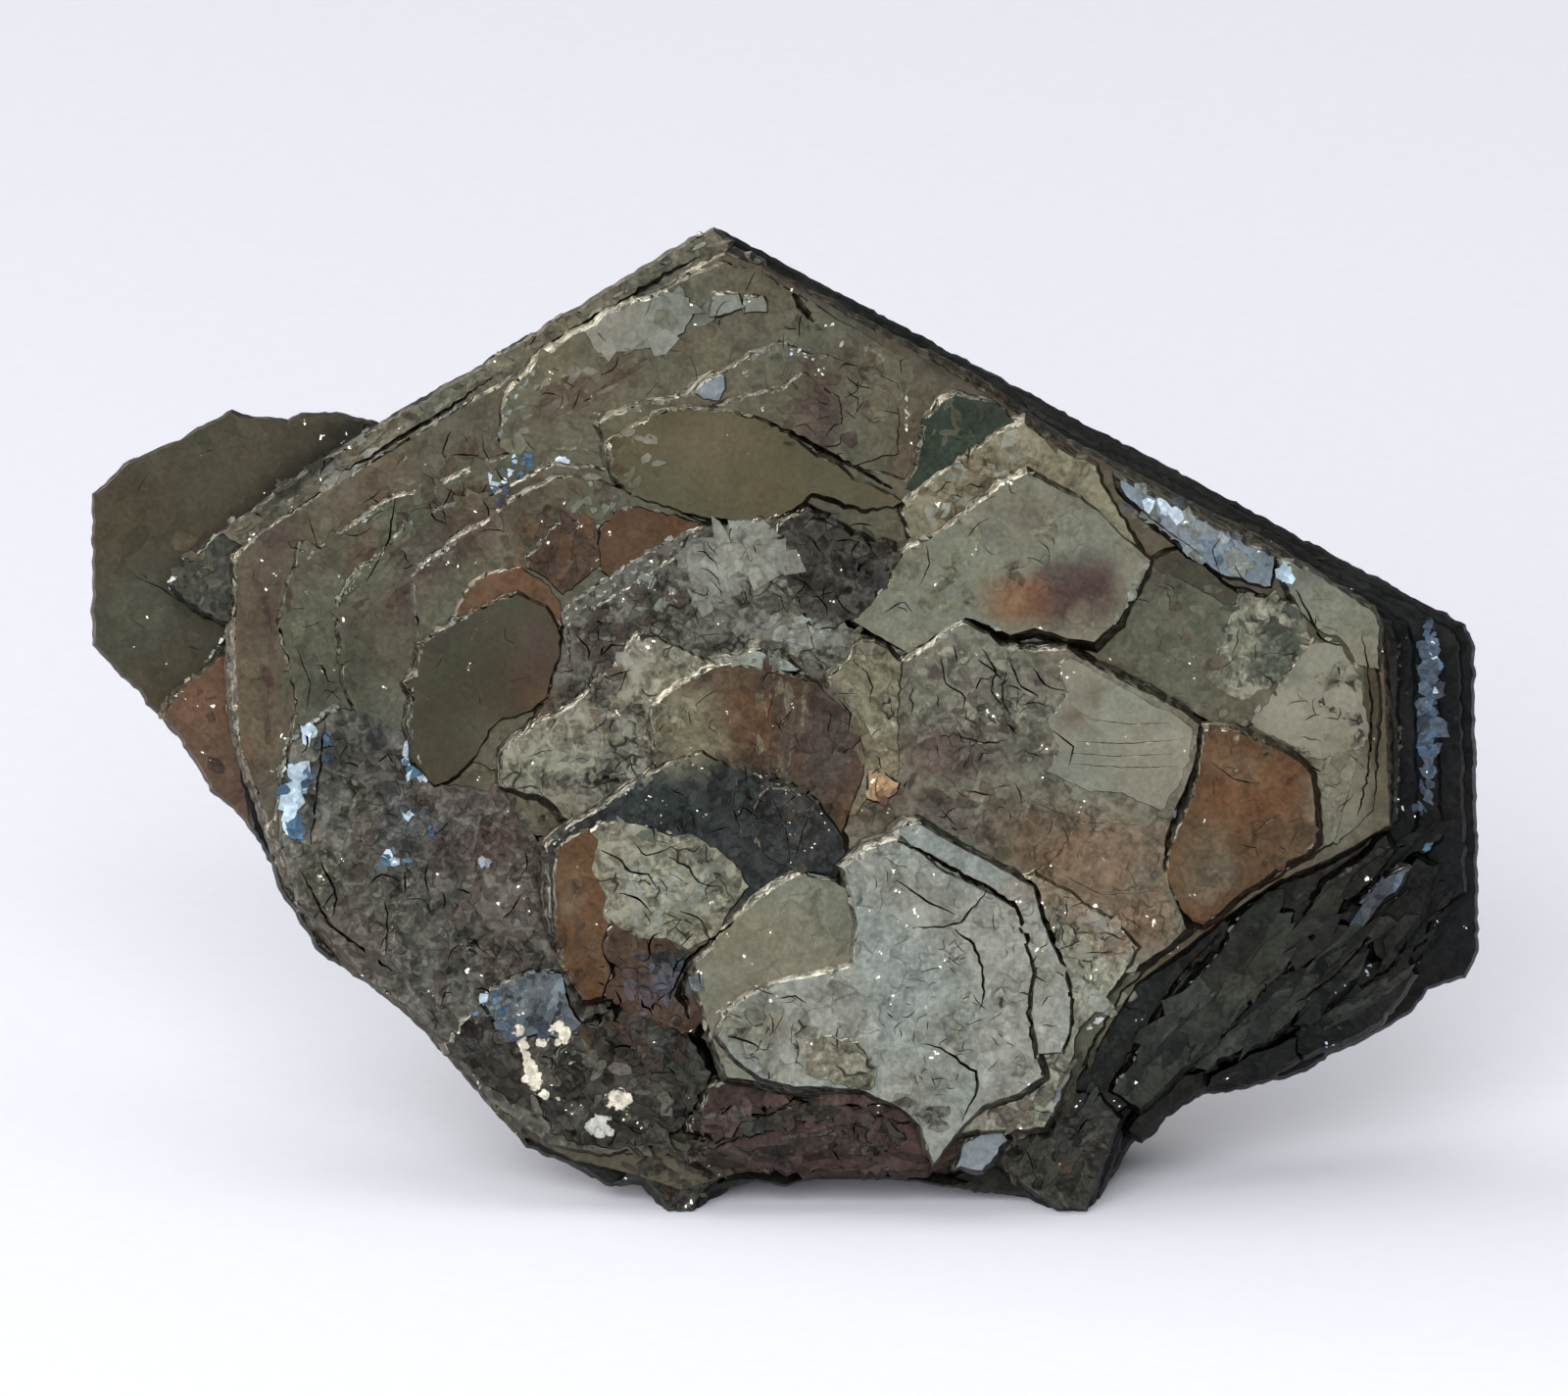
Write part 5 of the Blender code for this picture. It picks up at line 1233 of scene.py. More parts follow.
def strewn(finish, places, spins, stretches, sizes, prouds, tilt, plates, rng):
    """Return small chips of one finish at some places."""
    count = len(places)
    size = rng.uniform(*sizes, count)
    proud = rng.uniform(*prouds, count)
    stretch = rng.uniform(*stretches, count)
    tips = rng.uniform(-tilt, tilt, (count, 2))
    shade = rng.uniform(*BEAD_SHADES, count)
    firm = stands_clear(places, size * BEAD_REACH, plates, 1.0)
    stands = ground(places, plates)
    return [chip(finish, None, places[i], size[i], proud[i], spins[i] + rng.uniform(-20.0, 20.0),
                 stretch[i], tips[i], stands[i], 1.0, shade[i], rng)
            for i in np.flatnonzero(firm)]


def glint_patch(patch, plates, rng):
    """Return the facets of one patch, tinted as painted reflections."""
    finish, count, sizes, tilt, middle, half, turn = patch
    places = in_ellipse(middle, half, turn, count, rng)
    spins = rng.uniform(0.0, 180.0, count)
    return strewn(finish, places, spins, (0.5, 1.0), sizes, GLINT_PROUD, tilt, plates, rng)


BEAD_SHARE = 0.26                   # how many of an edge's points carry a grain of painted highlight
NO_BEADS = ("rim", "slope", "wing", "toe", "rim_edge")
LIT_ENOUGH = 0.4                    # how much an edge faces the light before it carries any


def lit_edge_beads(plates, rng):
    """Return pale grains along the plate edges that face the light, as painted highlights on those edges.
    """
    made = []
    for number, plate in enumerate(plates):
        if way_out(plate) < 0 or plate.finish in NO_BEADS:
            continue
        line = ragged(plate.outline, 0.0, 0.0)
        if turning(line) < 0:
            line = line[::-1]
        out = outward(line)
        within = line - out * 0.25
        open_top = ground(within, plates) < plate_top(plate, within) + 0.02
        chosen = rng.uniform(0.0, 1.0, len(line)) < BEAD_SHARE
        facing = out @ np.array(LIGHT_SIDE)
        for i in np.flatnonzero(open_top & chosen & (facing > LIT_ENOUGH)):
            spin = math.degrees(math.atan2(out[i, 1], out[i, 0])) + 90.0
            size = rng.uniform(0.14, 0.46)
            place = line[i] + out[i] * rng.uniform(-0.06, 0.16)
            stand = plate_top(plate, line[i][None])[0] - rng.uniform(0.04, 0.16)
            made.append(chip("pale" if number % 3 else "band", plate.finish, place, size, 0.12,
                             spin + rng.uniform(-25.0, 25.0), rng.uniform(0.3, 0.6),
                             rng.uniform(-16.0, 16.0, 2), stand, 1.0, rng.uniform(0.8, 1.4), rng))
    return made


# width, depth, then the line of each crack that stands out
CRACKS = (
    (0.34, 0.35, ((12, 20), (13.3, 19), (13.9, 17.5), (14.1, 15.5), (13.8, 14.3))),
    (0.24, 0.25, ((7.8, 23.5), (10, 22), (12, 21))),
    (0.26, 0.25, ((9, 20.1), (11, 20.2), (12.5, 20.5), (14.3, 22.8))),
    (0.30, 0.30, ((9.8, 11.9), (11.5, 11.2), (13.5, 9.8), (13.6, 8.5), (12.5, 6.3))),
    (0.62, 0.50, ((7.6, 26.4), (9.8, 25.5), (12, 24.1), (14.4, 22.9), (16.3, 21.7), (17, 19.6), (17.7, 17),
     (17.3, 14), (17.7, 11.2), (18.3, 9.3))),
    (0.58, 0.50, ((9.6, 27.6), (12, 26.2), (14.6, 24.9), (17.7, 23.1), (18.5, 20.4), (19.9, 17),
     (20.4, 15.2), (20.3, 12.6), (19.8, 11))),
    (0.24, 0.22, ((-4.2, 12.4), (-2.8, 12.1), (-1.9, 11.5))),
    (0.20, 0.20, ((-0.8, 15), (0.6, 15.3), (1.4, 14.7))),
    (0.24, 0.22, ((14, 40), (15, 38.4), (14.6, 36.9), (15.4, 36))),
    (0.24, 0.22, ((16, 39), (16.6, 37.4), (18, 36.6))),
    (0.24, 0.22, ((11, 39.3), (11.4, 37.5), (12.8, 36.6), (12.6, 35.6))),
    (0.22, 0.20, ((17.6, 38.6), (18.6, 37.2), (20.2, 36.9))),
    (0.24, 0.20, ((12, 33.9), (14, 33.2), (15.8, 33.5))),
    (0.22, 0.20, ((19, 34.2), (20.5, 33), (20.2, 31.6))),
    (0.12, 0.08, ((20.6, 33.4), (24, 33.2), (28.4, 33.5))),
    (0.10, 0.08, ((19.8, 32.6), (23.6, 32.3), (27.6, 32.5))),
    (0.12, 0.08, ((20.2, 31.8), (24.6, 31.5), (28, 31.6))),
    (0.10, 0.06, ((21.4, 35), (24.6, 34.6), (27.4, 34.7))),
    (0.10, 0.06, ((17.4, 29.2), (21, 27.6), (25.6, 27.4))),
    (0.10, 0.06, ((19.4, 24), (22.6, 22.4), (26.4, 22.6))),
    (0.14, 0.10, ((16.6, 23.4), (19.4, 25.2), (21, 28))),
    (0.14, 0.12, ((-1, 29.4), (0, 27), (0.3, 24.6))),
    (0.14, 0.12, ((1.8, 28.8), (1.2, 27), (0.6, 25))),
    (0.16, 0.14, ((-3.6, 30.6), (-3.8, 28.6), (-3.2, 26.8))),
    (0.24, 0.20, ((-13.3, 25.6), (-12, 25), (-11, 24), (-9.8, 23.9), (-9.2, 22.8))),
    (0.22, 0.20, ((-12, 22.6), (-10.5, 22.2), (-9.6, 21))),
    (0.24, 0.20, ((-8.4, 25.2), (-7, 24.4), (-6.4, 23.4), (-5, 23))),
    (0.20, 0.18, ((-7.6, 21.3), (-6.2, 20.8), (-5.6, 19.8))),
    (0.20, 0.18, ((-10.8, 26.2), (-10.2, 25.2), (-8.8, 25.6), (-7.8, 26))),
    (0.18, 0.16, ((9.5, 44.5), (10.2, 46), (10, 47.4))),
    (0.18, 0.16, ((7, 42.6), (8.4, 43.4), (9, 42.6))),
    (0.20, 0.18, ((5.6, 38.6), (6.2, 37.2), (5.8, 35.8))),
    (0.18, 0.16, ((3.8, 36.4), (4.6, 35.3), (4.4, 34))),
    (0.12, 0.10, ((-47, 45.3), (-45, 44.4), (-43, 43))),
    (0.16, 0.14, ((-12.4, 55.2), (-11, 55.9), (-9.8, 56.2))),
    (0.14, 0.10, ((30.2, 32), (32, 30.6), (34, 30.3))),
    (0.14, 0.10, ((35.6, 28.4), (34, 27.4), (32.8, 26.4))),
    (0.90, 0.60, ((0.4, 65.4), (1.2, 64.4), (2, 63.4))),
    (0.70, 0.60, ((-16.8, 61.9), (-13, 64), (-9.6, 66.1), (-6.2, 68.1))),
    (0.50, 0.40, ((-31.6, 52.7), (-26, 56), (-21, 59.4))),
    (0.60, 0.50, ((-2.2, 56.6), (0.8, 55.2), (4.2, 53.4), (7.6, 51.4))),
    (0.50, 0.40, ((20.2, 40.4), (25, 37.6), (30, 34.8), (34, 33.4), (38.2, 31.2))),
    (0.30, 0.25, ((36.4, 44.2), (37.4, 42.4), (38.2, 40.6), (39.8, 40.2))),
    (0.34, 0.30, ((41.2, 41), (41.9, 36), (41.6, 31), (40.8, 28))),
    (0.50, 0.70, ((-8.4, 15), (-7.2, 17.6), (-5.4, 19.2), (-3.8, 20.6))),
    (1.10, 0.90, ((-6.9, 13.6), (-7.6, 15.4), (-6.9, 17.4))),
    (0.40, 0.30, ((-35, 24.6), (-32.6, 20.2), (-28.2, 17))),
    (0.30, 0.30, ((-33.4, 24.8), (-32.2, 22.6), (-32.4, 20.8))),
    (0.30, 0.30, ((-28.7, 22), (-28.5, 19.8), (-28.7, 18))),
    (0.30, 0.30, ((-33, 35), (-33.4, 31), (-34, 26))),
    (0.60, 0.50, ((31.6, 20.2), (28.6, 17), (25.6, 12.6), (23.2, 8.8))),
    (0.60, 0.45, ((42.4, 23.6), (39.6, 21), (37.3, 19), (34.9, 16.5), (31.8, 13), (29.8, 10.6))),
    (0.60, 0.45, ((46.4, 19.4), (43, 16.9), (38.4, 13.9), (34.6, 12.2), (31.4, 10.4))),
    (0.40, 0.35, ((45, 23), (42, 19.4), (39.4, 16.6), (36.6, 14.6))),
    (0.14, 0.12, ((23.8, 51.2), (27, 48.6), (29.8, 46.6))),
    (0.14, 0.12, ((31.2, 48.2), (30.4, 47), (31, 45.4))),
    (0.20, 0.20, ((-28, 50.8), (-28.4, 47.8), (-30, 44.8))),
    (0.16, 0.14, ((-35, 40), (-34, 37.4), (-34.4, 35.4))),
)

# middle, half width and height, turn, count, length range, width range
CRACK_ZONES = (
    ((11.4, 13.4), (4.4, 5.4), 0, 44, (0.4, 1.3), (0.09, 0.17)),
    ((16.6, 15), (1.6, 7), 8, 15, (0.4, 1.3), (0.10, 0.20)),
    ((7, 22.6), (2.6, 3), 0, 6, (0.6, 2), (0.08, 0.16)),
    ((21.4, 18), (3.6, 4.6), 20, 16, (0.6, 2), (0.09, 0.20)),
    ((-8.6, 23.4), (4.6, 3.6), 10, 16, (0.5, 1.8), (0.09, 0.20)),
    ((-0.4, 12.4), (4.8, 3.2), 0, 16, (0.5, 1.7), (0.09, 0.20)),
    ((-4.4, 44.4), (7.6, 4), 25, 26, (0.5, 1.8), (0.08, 0.20)),
    ((-13.6, 39), (2.6, 4.4), 0, 11, (0.5, 1.8), (0.12, 0.28)),
    ((-12, 32.6), (6.6, 3.4), 30, 9, (0.5, 1.9), (0.08, 0.18)),
    ((13.6, 35.6), (5.4, 4.4), 0, 22, (0.5, 2), (0.10, 0.24)),
    ((12.5, 28.6), (6.5, 2.4), -14, 16, (0.4, 1.4), (0.10, 0.24)),
    ((5.6, 34.8), (2.2, 4.4), 0, 9, (0.5, 1.6), (0.09, 0.18)),
    ((3.6, 45.6), (3.8, 3.6), -40, 10, (0.8, 2.4), (0.10, 0.22)),
    ((34.4, 40), (4.6, 4.6), -30, 11, (0.5, 1.8), (0.09, 0.20)),
    ((39.6, 34), (2.4, 6), 0, 12, (0.5, 1.8), (0.09, 0.20)),
    ((27, 43), (4.6, 3.4), 0, 6, (0.5, 1.6), (0.07, 0.13)),
    ((13.4, 46.8), (7.6, 4), 24, 11, (0.6, 2.2), (0.07, 0.15)),
    ((15.2, 53), (5.6, 2), 32, 11, (0.5, 1.4), (0.10, 0.22)),
    ((-0.6, 34.6), (6.4, 3.4), 0, 12, (0.6, 2.2), (0.07, 0.16)),
    ((-9.4, 16.4), (3.8, 2.6), 10, 12, (0.5, 1.6), (0.12, 0.30)),
    ((-3.6, 29.4), (7.4, 2.4), 10, 10, (0.5, 1.6), (0.08, 0.16)),
    ((33, 27.6), (4.2, 5.2), 0, 7, (0.6, 2), (0.07, 0.14)),
    ((22.6, 24.4), (4.8, 4.8), 0, 10, (0.5, 1.8), (0.07, 0.14)),
    ((-25, 50.4), (8, 3.6), 30, 21, (0.5, 1.9), (0.10, 0.22)),
    ((-33, 41.4), (3.4, 8), 0, 14, (0.5, 2), (0.08, 0.18)),
    ((-21.6, 37.6), (3.8, 5), -30, 4, (0.5, 1.6), (0.06, 0.10)),
    ((-9, 61.4), (9.4, 3.4), 28, 16, (0.5, 2), (0.08, 0.18)),
    ((3.6, 58.6), (5.6, 4.6), -25, 21, (0.5, 1.8), (0.09, 0.20)),
    ((-43.6, 47.6), (6, 7.4), 0, 7, (0.5, 2), (0.06, 0.12)),
    ((-29.4, 25.6), (6.6, 9.4), 20, 12, (0.8, 2.4), (0.12, 0.26)),
    ((-21.4, 20.4), (6.4, 7.4), -30, 10, (0.8, 2.2), (0.12, 0.24)),
    ((-12.4, 8.2), (5.8, 3.8), -20, 6, (0.5, 1.8), (0.12, 0.26)),
    ((2.4, 6), (9.4, 2.8), 0, 6, (0.5, 2), (0.12, 0.26)),
    ((19, 4.4), (4, 4.4), 0, 4, (0.5, 1.8), (0.12, 0.26)),
    ((-30, 54.6), (10, 1), 32, 8, (0.4, 1.4), (0.10, 0.22)),
    ((-12.4, 65.6), (8.8, 0.9), 31, 8, (0.4, 1.4), (0.10, 0.22)),
)
CRACK_STEP = 0.4                    # spacing of points along a crack
CRACK_STRAY = 0.06                  # how far they stray to the sides
CRACK_ENDS = 0.03                   # how far into its taper a crack begins, so that no end is flat
DRAWN_WIDTH = 0.65                  # a crack drawn one by one opens to this share of its width
DRAWN_DEPTH = 0.6                   # and of its depth
FINE_WIDTH = 0.6                    # a scattered one opens to this share of its width
FINE_DEPTH = 0.6                    # and is this share of that deep
LIFT = 0.35                         # how far a cutter stands out of the surface


def crack_cutter(width, depth, line, plates, rng, host=None):
    """Return a closed V-shaped cutter that follows a line over the surface."""
    run = np.array(line)
    length = np.hypot(*np.diff(run, axis=0).T).sum()
    count = max(4, round(length / CRACK_STEP))
    shares = np.linspace(0.0, 1.0, count)
    middle = along_line(run, shares)
    ahead = np.gradient(middle, axis=0)
    side = np.column_stack((-ahead[:, 1], ahead[:, 0]))
    side /= np.maximum(np.hypot(*side.T), 1e-6)[:, None]
    stray = rng.normal(0.0, CRACK_STRAY, count) * min(1.0, width * 4)
    middle = middle + side * stray[:, None]
    along = shares * (1 - 2 * CRACK_ENDS) + CRACK_ENDS
    taper = np.sqrt(np.maximum(np.sin(math.pi * along), 0.0))
    deep = depth * taper * rng.uniform(0.8, 1.15, count)
    half = width / 2 * taper * rng.uniform(0.7, 1.25, count)
    stand = ground(middle, plates)
    ring = [np.column_stack((middle + side * (half * reach)[:, None], stand + rise))
            for reach, rise in ((1.2, LIFT), (-1.2, LIFT), (-1.0, 0.0), (0.0, -deep), (1.0, 0.0))]
    points = np.stack(ring, 1).reshape(-1, 3)
    around = len(ring)
    last = around * (count - 1)
    faces = [(0, corner + 1, corner) for corner in range(1, around - 1)]
    faces += [(last, last + corner, last + corner + 1) for corner in range(1, around - 1)]
    for start in range(0, last, around):
        for corner in range(around):
            here, there = start + corner, start + (corner + 1) % around
            faces += [(here, there, there + around), (here, there + around, here + around)]
    kind = face_kind(host, 1, host, 0.8, 1) if host else face_kind("crack", 1)
    return points, np.array(faces), np.full(len(faces), kind)


def zone_cracks(zone, plates, rng):
    """Return short wandering cracks scattered over one zone."""
    middle, half, turn, count, lengths, widths = zone
    made = []
    for place in in_ellipse(middle, half, turn, count, rng):
        heading = rng.uniform(0.0, math.pi)
        steps = int(rng.integers(2, 5))
        step = 1.25 * rng.uniform(*lengths) / steps
        width = rng.uniform(*widths) * FINE_WIDTH
        line = [place]
        for _ in range(steps):
            heading += rng.normal(0.0, 0.6)
            line.append(line[-1] + step * np.array((math.cos(heading), math.sin(heading))))
        stands, hosts = cover(np.array(line), plates)
        if (stands > DEEPEST).all():
            host = plates[hosts[0]].finish
            made.append(crack_cutter(width, width * FINE_DEPTH, line, plates, rng, host))
    return made


# ---------------------------------------------------------------- joining the plates

STAND = 0.0                         # height of the standing plane, in metres
BASE_BLOCK = (0.3, 0.3, 0.04)       # the block under it, in metres
MOST_TRIANGLES = 192000             # of the crystal group
SEED = 11                           # where its random numbers start
WAVE_SHIFT = 7.3                    # each plate's noise is taken this much further on
LAYER_RELIEF = 0.04                 # how wavy the rim's layers are
BACK_W = -0.6                       # w of the slab's broken back


def part_object(name, points, triangles, kinds, collection):
    """Return a mesh object from face-millimetre points, set in the row frame."""
    mesh = bpy.data.meshes.new(name)
    mesh.from_pydata((points * MM).tolist(), [], triangles.tolist())
    mesh.transform(FACE)
    made = mesh.attributes.new("kind", "INT", "FACE")
    made.data.foreach_set("value", kinds.astype(np.int32))
    thing = bpy.data.objects.new(name, mesh)
    collection.objects.link(thing)
    return thing


def apply_change(body):
    """Make what a body's modifiers do part of its mesh."""
    graph = bpy.context.evaluated_depsgraph_get()
    mesh = bpy.data.meshes.new_from_object(body.evaluated_get(graph))
    body.modifiers.clear()
    body.data = mesh


def boolean(body, operation, others):
    """Join or cut a body with everything in a collection, and keep the result."""
    change = body.modifiers.new(operation.lower(), "BOOLEAN")
    change.operation = operation
    change.solver = "MANIFOLD"
    change.operand_type = "COLLECTION"
    change.collection = others
    apply_change(body)
    for thing in list(others.objects):
        bpy.data.objects.remove(thing)
    bpy.data.collections.remove(others)


def workshop(name):
    """Return a collection for things that are used up."""
    collection = bpy.data.collections.new(name)
    bpy.context.scene.collection.children.link(collection)
    return collection


def values_of(collection, name, width, kind=np.float32):
    """Return one property of every item of a mesh's collection as an array."""
    values = np.empty(len(collection) * width, kind)
    collection.foreach_get(name, values)
    return values.reshape(-1, width) if width > 1 else values


def keep_largest(body):
    """Take away every crumb of a mesh that isn't joined to its largest part."""
    mesh = body.data
    ends = values_of(mesh.edges, "vertices", 2, np.int32)
    label = np.arange(len(mesh.vertices))
    while True:
        one, two = label[ends].T
        if (one == two).all():
            break
        np.minimum.at(label, np.maximum(one, two), np.minimum(one, two))
        while (label[label] != label).any():
            label = label[label]
    loose = np.flatnonzero(label != np.bincount(label).argmax())
    shape = bmesh.new()
    shape.from_mesh(mesh)
    shape.verts.ensure_lookup_table()
    bmesh.ops.delete(shape, geom=[shape.verts[index] for index in loose], context="VERTS")
    shape.to_mesh(mesh)
    shape.free()


def thin_out(body):
    """Merge the smallest and flattest faces of a mesh until few enough are left, all closed up."""
    body.data.calc_loop_triangles()
    thinning = body.modifiers.new("thin out", "DECIMATE")
    thinning.ratio = MOST_TRIANGLES / len(body.data.loop_triangles)
    thinning.use_collapse_triangulate = True
    apply_change(body)
    shape = bmesh.new()
    shape.from_mesh(body.data)
    torn = [edge for edge in shape.edges if len(edge.link_faces) != 2]
    bmesh.ops.collapse(shape, edges=torn)
    shape.to_mesh(body.data)
    shape.free()


def base_trim():
    """Return the block that cuts the feet and the heel flat."""
    trim = workshop("base trim")
    mesh = bpy.data.meshes.new("base trim")
    place = Matrix.Translation((0.0, 0.0, STAND - BASE_BLOCK[2] / 2))
    block = bmesh.new()
    bmesh.ops.create_cube(block, size=1.0, matrix=place @ Matrix.Diagonal((*BASE_BLOCK, 1.0)))
    block.to_mesh(mesh)
    block.free()
    made = mesh.attributes.new("kind", "INT", "FACE")
    made.data.foreach_set("value", np.full(len(mesh.polygons), face_kind("back"), np.int32))
    trim.objects.link(bpy.data.objects.new("base trim", mesh))
    return trim


def rim_outline(side, slant, corner, left_side):
    """Return a growth layer's outline, stepped in along its two straight crystal edges."""
    edge = (SHOULDER - APEX).normalized()
    apex = APEX + Vector((edge.y, -edge.x)) * slant
    side_u = RIGHT_EDGE_U - side
    shoulder = apex + edge * ((side_u - 1.0 - apex.x) / edge.x)
    return (tuple(apex), tuple(shoulder), (side_u - 0.4, RIGHT_EDGE_TOP), *corner, *left_side)


def growth_layers():
    """Return the layers of the rim as plates."""
    return [Plate(name, finish, back, front, (0.0, 0.0), "foot", LAYER_RELIEF,
                  rim_outline(side, slant, corner, left))
            for name, finish, back, front, side, slant, corner, left in RIM_LAYERS]


def small_grains(plates, rng):
    """Return every bead, chip, splinter and glint as points, faces and kinds."""
    small = lit_edge_beads(plates, rng)
    for zone in CHIP_ZONES:
        small += zone_chips(zone, plates, 1.0, rng)
    for zone in SPLINTER_ZONES:
        small += zone_chips(zone, plates, 1.0, rng, True)
    for row in BEAD_ROWS:
        small += bead_row(row, plates, rng)
    for patch in GLINTS:
        small += glint_patch(patch, plates, rng)
    backing = list(BACK_PLATES) + [plates[0]._replace(front=BACK_W, back=1.0)]
    for zone in BACK_ZONES:
        small += zone_chips(zone, backing, -1.0, rng)
    return small


def crack_cutters(plates, rng):
    """Return every crack's cutter as points, faces and kinds."""
    cutters = [crack_cutter(width * DRAWN_WIDTH, depth * DRAWN_DEPTH, line, plates, rng)
               for width, depth, line in CRACKS]
    for zone in CRACK_ZONES:
        cutters += zone_cracks(zone, plates, rng)
    return cutters


def grown_group():
    """Return the whole group as one closed mesh object."""
    rng = np.random.default_rng(SEED)
    plates = growth_layers() + list(FACE_PLATES) + list(BACK_PLATES)
    joined = workshop("plates")
    body = part_object("crystal_group", *plate_solid(plates[0], 1.0, rng, FACE_STEP, plates[1:]),
                       bpy.context.scene.collection)
    for index, plate in enumerate(plates[1:], 2):
        spacing = FACE_STEP if way_out(plate) > 0 else BACK_STEP
        others = [other for other in plates if other is not plate]
        solid = plate_solid(plate, WAVE_SHIFT * index, rng, spacing, others)
        part_object(plate.name, *solid, joined)
    for grain_solid in small_grains(plates, rng):
        part_object("grain", *grain_solid, joined)
    boolean(body, "UNION", joined)
    cuts = workshop("cracks")
    for cutter in crack_cutters(plates, rng):
        part_object("crack", *cutter, cuts)
    boolean(body, "DIFFERENCE", cuts)
    boolean(body, "DIFFERENCE", base_trim())
    keep_largest(body)
    thin_out(body)
    return body


# ---------------------------------------------------------------- colouring the surface

